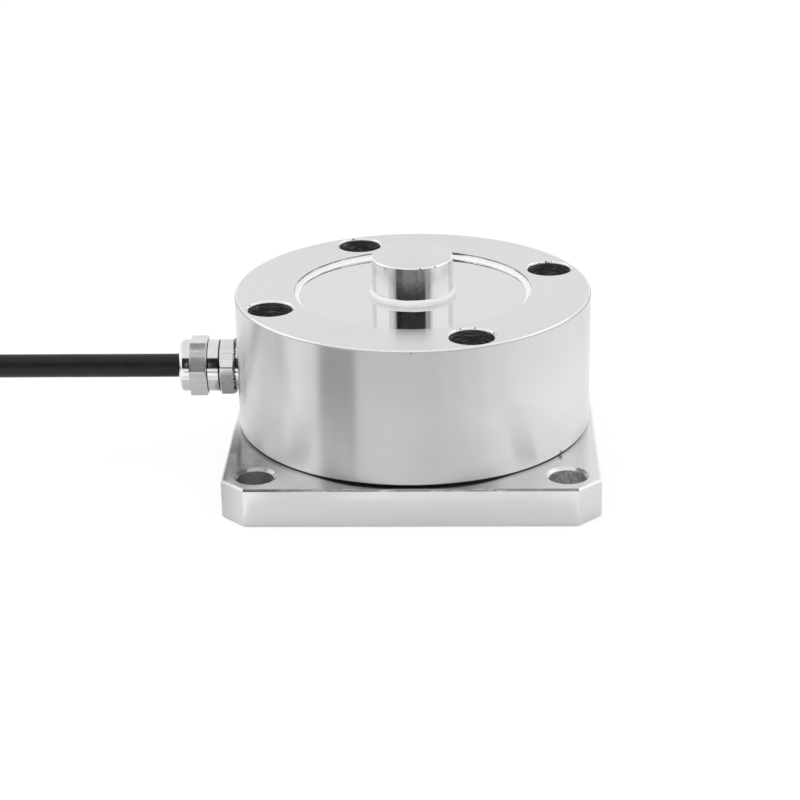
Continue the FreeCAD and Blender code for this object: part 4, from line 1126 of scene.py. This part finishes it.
def hang(name, points, tone, fade=NEVER_FADES, glow=0.0, bounces=ANY_BOUNCE, reach=None):
    """Card of one tone that fades out between two levels.

    Only reflections show it, between two numbers of bounces and, where a reach is given, at that distance.
    """
    paper = Finish(name, tone, 0.0, 0.9, Specular_IOR_Level=0.0,
                   Emission_Strength=glow, Emission_Color=grey(1))
    path = paper.node("LightPath")
    shown = paper.both(
        paper.spread(paper.z, *fade, 1.0, 0.0), paper.calc("LESS_THAN", path["Diffuse Depth"], 0.5),
        paper.calc("GREATER_THAN", path["Ray Depth"], bounces[0]),
        paper.calc("LESS_THAN", path["Ray Depth"], bounces[1]))
    if reach:
        shown = paper.both(shown, paper.window(path["Ray Length"], *reach, HOOD_SOFTNESS))
    paper.feed(paper.shader["Alpha"], shown)
    piece = put_mesh(name, points, paper.material, open_grid(*points.shape[:2]))
    piece.visible_camera = False
    piece.visible_diffuse = False
    piece.visible_shadow = False


def swept_card(name, turns, radius, level, tone, **options):
    """Card round the object: the radii and levels of a line, swept between two turns."""
    across = np.radians(np.linspace(*turns, 25))[:, None]
    radius = np.asarray(radius)
    points = np.broadcast_arrays(radius * np.sin(across), -radius * np.cos(across), level)
    hang(name, np.stack(points, -1), tone, **options)


def far_card(name, turns, heights, fade, tone, **options):
    """Card or light panel: part of a sphere between two turns and two heights, whose top fades out."""
    up = np.radians(np.linspace(*heights, 13))
    levels = FAR * np.sin(np.radians((heights[1] - fade, heights[1])))
    swept_card(name, turns, FAR * np.cos(up), FAR * np.sin(up), tone, fade=levels, **options)


def hood_card(name, stations, turns, fade, tone):
    """Curved card in front of the gland: part of a drum about its axis between two stations and two turns."""
    along = -np.linspace(*stations, 9)[:, None]
    up = np.radians(np.linspace(*turns, 25))[None, :]
    points = np.stack(np.broadcast_arrays(along, -HOOD * np.cos(up), GLAND_LEVEL + HOOD * np.sin(up)), -1)
    levels = GLAND_LEVEL + HOOD * np.sin(np.radians((turns[1] - fade, turns[1])))
    hang(name, points, tone, levels, bounces=FIRST_BOUNCE, reach=(HOOD - HOOD_DEPTH, HOOD))


def lying_card(name, low, high, tone):
    """Grey card flat on the floor between two corners."""
    hang(name, level_sheet(low, high, CARD_LIFT), grey(tone))


def hang_gland_hoods(sizes):
    """Dark hoods that the gland's collar, end and cable mirror, and grey ones for the nut's faces."""
    collar_end = NUT_START + sizes.collar + HOOD_SHIFT
    nut = (collar_end, collar_end + sizes.nut_hexagon)
    black = (0.014, 0.014, 0.016)
    hood_card("collar_hood", (GLAND_START + MILLIMETRE, nut[0]), (6.3, 51.5), 4, black)
    hood_card("cable_hood", (nut[1], HOOD_END), (6.3, 51.5), 4, black)
    hood_card("nut_hood", nut, (30, 51.7), 0.3, grey(0.36))
    hood_card("nut_upper_hood", nut, (52.5, 53.5), 0.2, grey(0.55))
    hood_card("nut_top_hood", nut, (54.3, 60), 0.5, grey(0.36))


def lay_floor_cards():
    """Grey cards on the floor that the wall and the base mirror; those round the object stand in for the
    floor's shade there.
    """
    # Grey sheets standing in for the floor's shade round the object, seen only in reflections
    lying_card("shade_card", (-0.075, -0.028), (-0.0530, 0.010), 0.68)
    lying_card("gland_card", (-0.0530, -0.028), (-0.0465, 0.010), 0.42)
    lying_card("front_card", (-0.0405, -0.062), (0.0405, -0.0464), 0.72)
    lying_card("left_corner_card", (-0.075, -0.052), (-0.0406, -0.034), 0.80)
    lying_card("right_corner_card", (0.0406, -0.052), (0.075, -0.034), 0.80)
    near_radii, far_radii = (0.066, 0.115), (0.115, 0.24)
    sectors = ((-30, 15, 0.74, 0.34), (15, 27, 0.82, 0.50), (27, 38, 0.90, 0.72))
    for number, (first, last, near, far) in enumerate(sectors):
        swept_card(f"near_sector_{number}", (first, last), near_radii, SECTOR_LIFT, grey(near))
        swept_card(f"far_sector_{number}", (first, last), far_radii, SECTOR_LIFT, grey(far))


def hang_far_cards():
    """Dark card with grey strips in front, which later bounces show, and light panels at both sides."""
    front, side = (6, 58), (-1, 50)
    far_card("dark_card", (-47, 38), front, 7, (0.008, 0.008, 0.009), bounces=LATER_BOUNCES)
    far_card("left_strip", (-55, -47), front, 7, grey(0.55), bounces=LATER_BOUNCES)
    far_card("right_strip", (38, 53), front, 7, grey(0.42), bounces=LATER_BOUNCES)
    far_card("left_panel", (-125, -70), side, 5, grey(0), glow=1.15)
    far_card("right_panel", (60, 125), side, 5, grey(0), glow=1.15)
    levels = np.linspace(0.012, 0.05, 9)
    swept_card("side_card", (-42, -24), 0.073, levels, grey(0.33), fade=levels[-1] * np.array((1, 1.01)))


def hang_lamp(power):
    """Soft square lamp overhead, aimed at the object."""
    data = bpy.data.lights.new("overhead", "AREA")
    data.shape = "SQUARE"
    data.size = 1.2
    data.energy = power
    light = put_object("overhead", data)
    place = Vector((-0.3, 0.2, 1.4))
    light.matrix_world = Matrix.Translation(place) @ (-place).to_track_quat("-Z", "Y").to_matrix().to_4x4()
    light.visible_glossy = False


def even_light(stage):
    """World that lights evenly from all round: white for the camera and a little weaker in reflections."""
    world = bpy.data.worlds.new("studio")
    world.use_nodes = True
    studio = NodeTree(world.node_tree)
    path = studio.node("LightPath")
    seen = studio.either(path["Is Camera Ray"], path["Is Transmission Ray"])
    for_camera = studio.both(seen, 1 - stage.world)
    in_mirrors = studio.both(path["Is Glossy Ray"], stage.mirrored_world - stage.world)
    background = studio.tree.nodes["Background"].inputs
    studio.feed(background["Strength"], studio.add(studio.add(for_camera, in_mirrors), stage.world))
    studio.feed(background["Color"], grey(1))
    return world


class LOADCELL_OT_stage(bpy.types.Operator):
    """Lay the floor and set the cards, the lamp and the even light"""

    bl_idname = "loadcell.stage"
    bl_label = "Stage"

    def execute(self, context):
        stage = settings("stage")
        corner = np.full(2, FLOOR_REACH)
        points = level_sheet(-corner, corner, FLOOR_LEVEL)
        put_mesh("floor", points, pale_floor(stage.floor), open_grid(2, 2))
        hang_far_cards()
        hang_gland_hoods(settings("sizes"))
        lay_floor_cards()
        hang_lamp(stage.lamp)
        context.scene.world = even_light(stage)
        context.scene.view_settings.view_transform = "Standard"
        return {"FINISHED"}


OPERATORS = (
    LOADCELL_OT_camera, LOADCELL_OT_cable, LOADCELL_OT_button, LOADCELL_OT_cover, LOADCELL_OT_sealant,
    LOADCELL_OT_gland, LOADCELL_OT_steel, LOADCELL_OT_inside, LOADCELL_OT_stage,
)
GROUPS = {
    "load_cell_view": LoadCellView, "load_cell_sizes": LoadCellSizes,
    "load_cell_colours": LoadCellColours, "load_cell_stage": LoadCellStage,
}


class LOADCELL_PT_panel(bpy.types.Panel):
    """Lists the steps and settings of the load cell"""

    bl_idname = "LOADCELL_PT_panel"
    bl_label = "Load cell"
    bl_space_type = "VIEW_3D"
    bl_region_type = "UI"
    bl_category = "Load Cell"

    def draw(self, context):
        for operator in OPERATORS:
            self.layout.operator(operator.bl_idname)
        for name, group in GROUPS.items():
            column = self.layout.column(align=True)
            for field in group.__annotations__:
                column.prop(getattr(context.scene, name), field)


def register():
    """Register the settings, operators and panel."""
    for name, group in GROUPS.items():
        bpy.utils.register_class(group)
        setattr(bpy.types.Scene, name, PointerProperty(type=group))
    for cls in (*OPERATORS, LOADCELL_PT_panel):
        bpy.utils.register_class(cls)


def unregister():
    """Take the settings, operators and panel away."""
    for cls in (LOADCELL_PT_panel, *reversed(OPERATORS)):
        bpy.utils.unregister_class(cls)
    for name, group in GROUPS.items():
        delattr(bpy.types.Scene, name)
        bpy.utils.unregister_class(group)


def main():
    """Build everything in order."""
    register()
    bpy.ops.loadcell.camera()
    bpy.ops.loadcell.cable()
    bpy.ops.loadcell.button()
    bpy.ops.loadcell.cover()
    bpy.ops.loadcell.sealant()
    bpy.ops.loadcell.gland()
    bpy.ops.loadcell.steel()
    bpy.ops.loadcell.inside()
    bpy.ops.loadcell.stage()


if __name__ == "__main__":
    main()
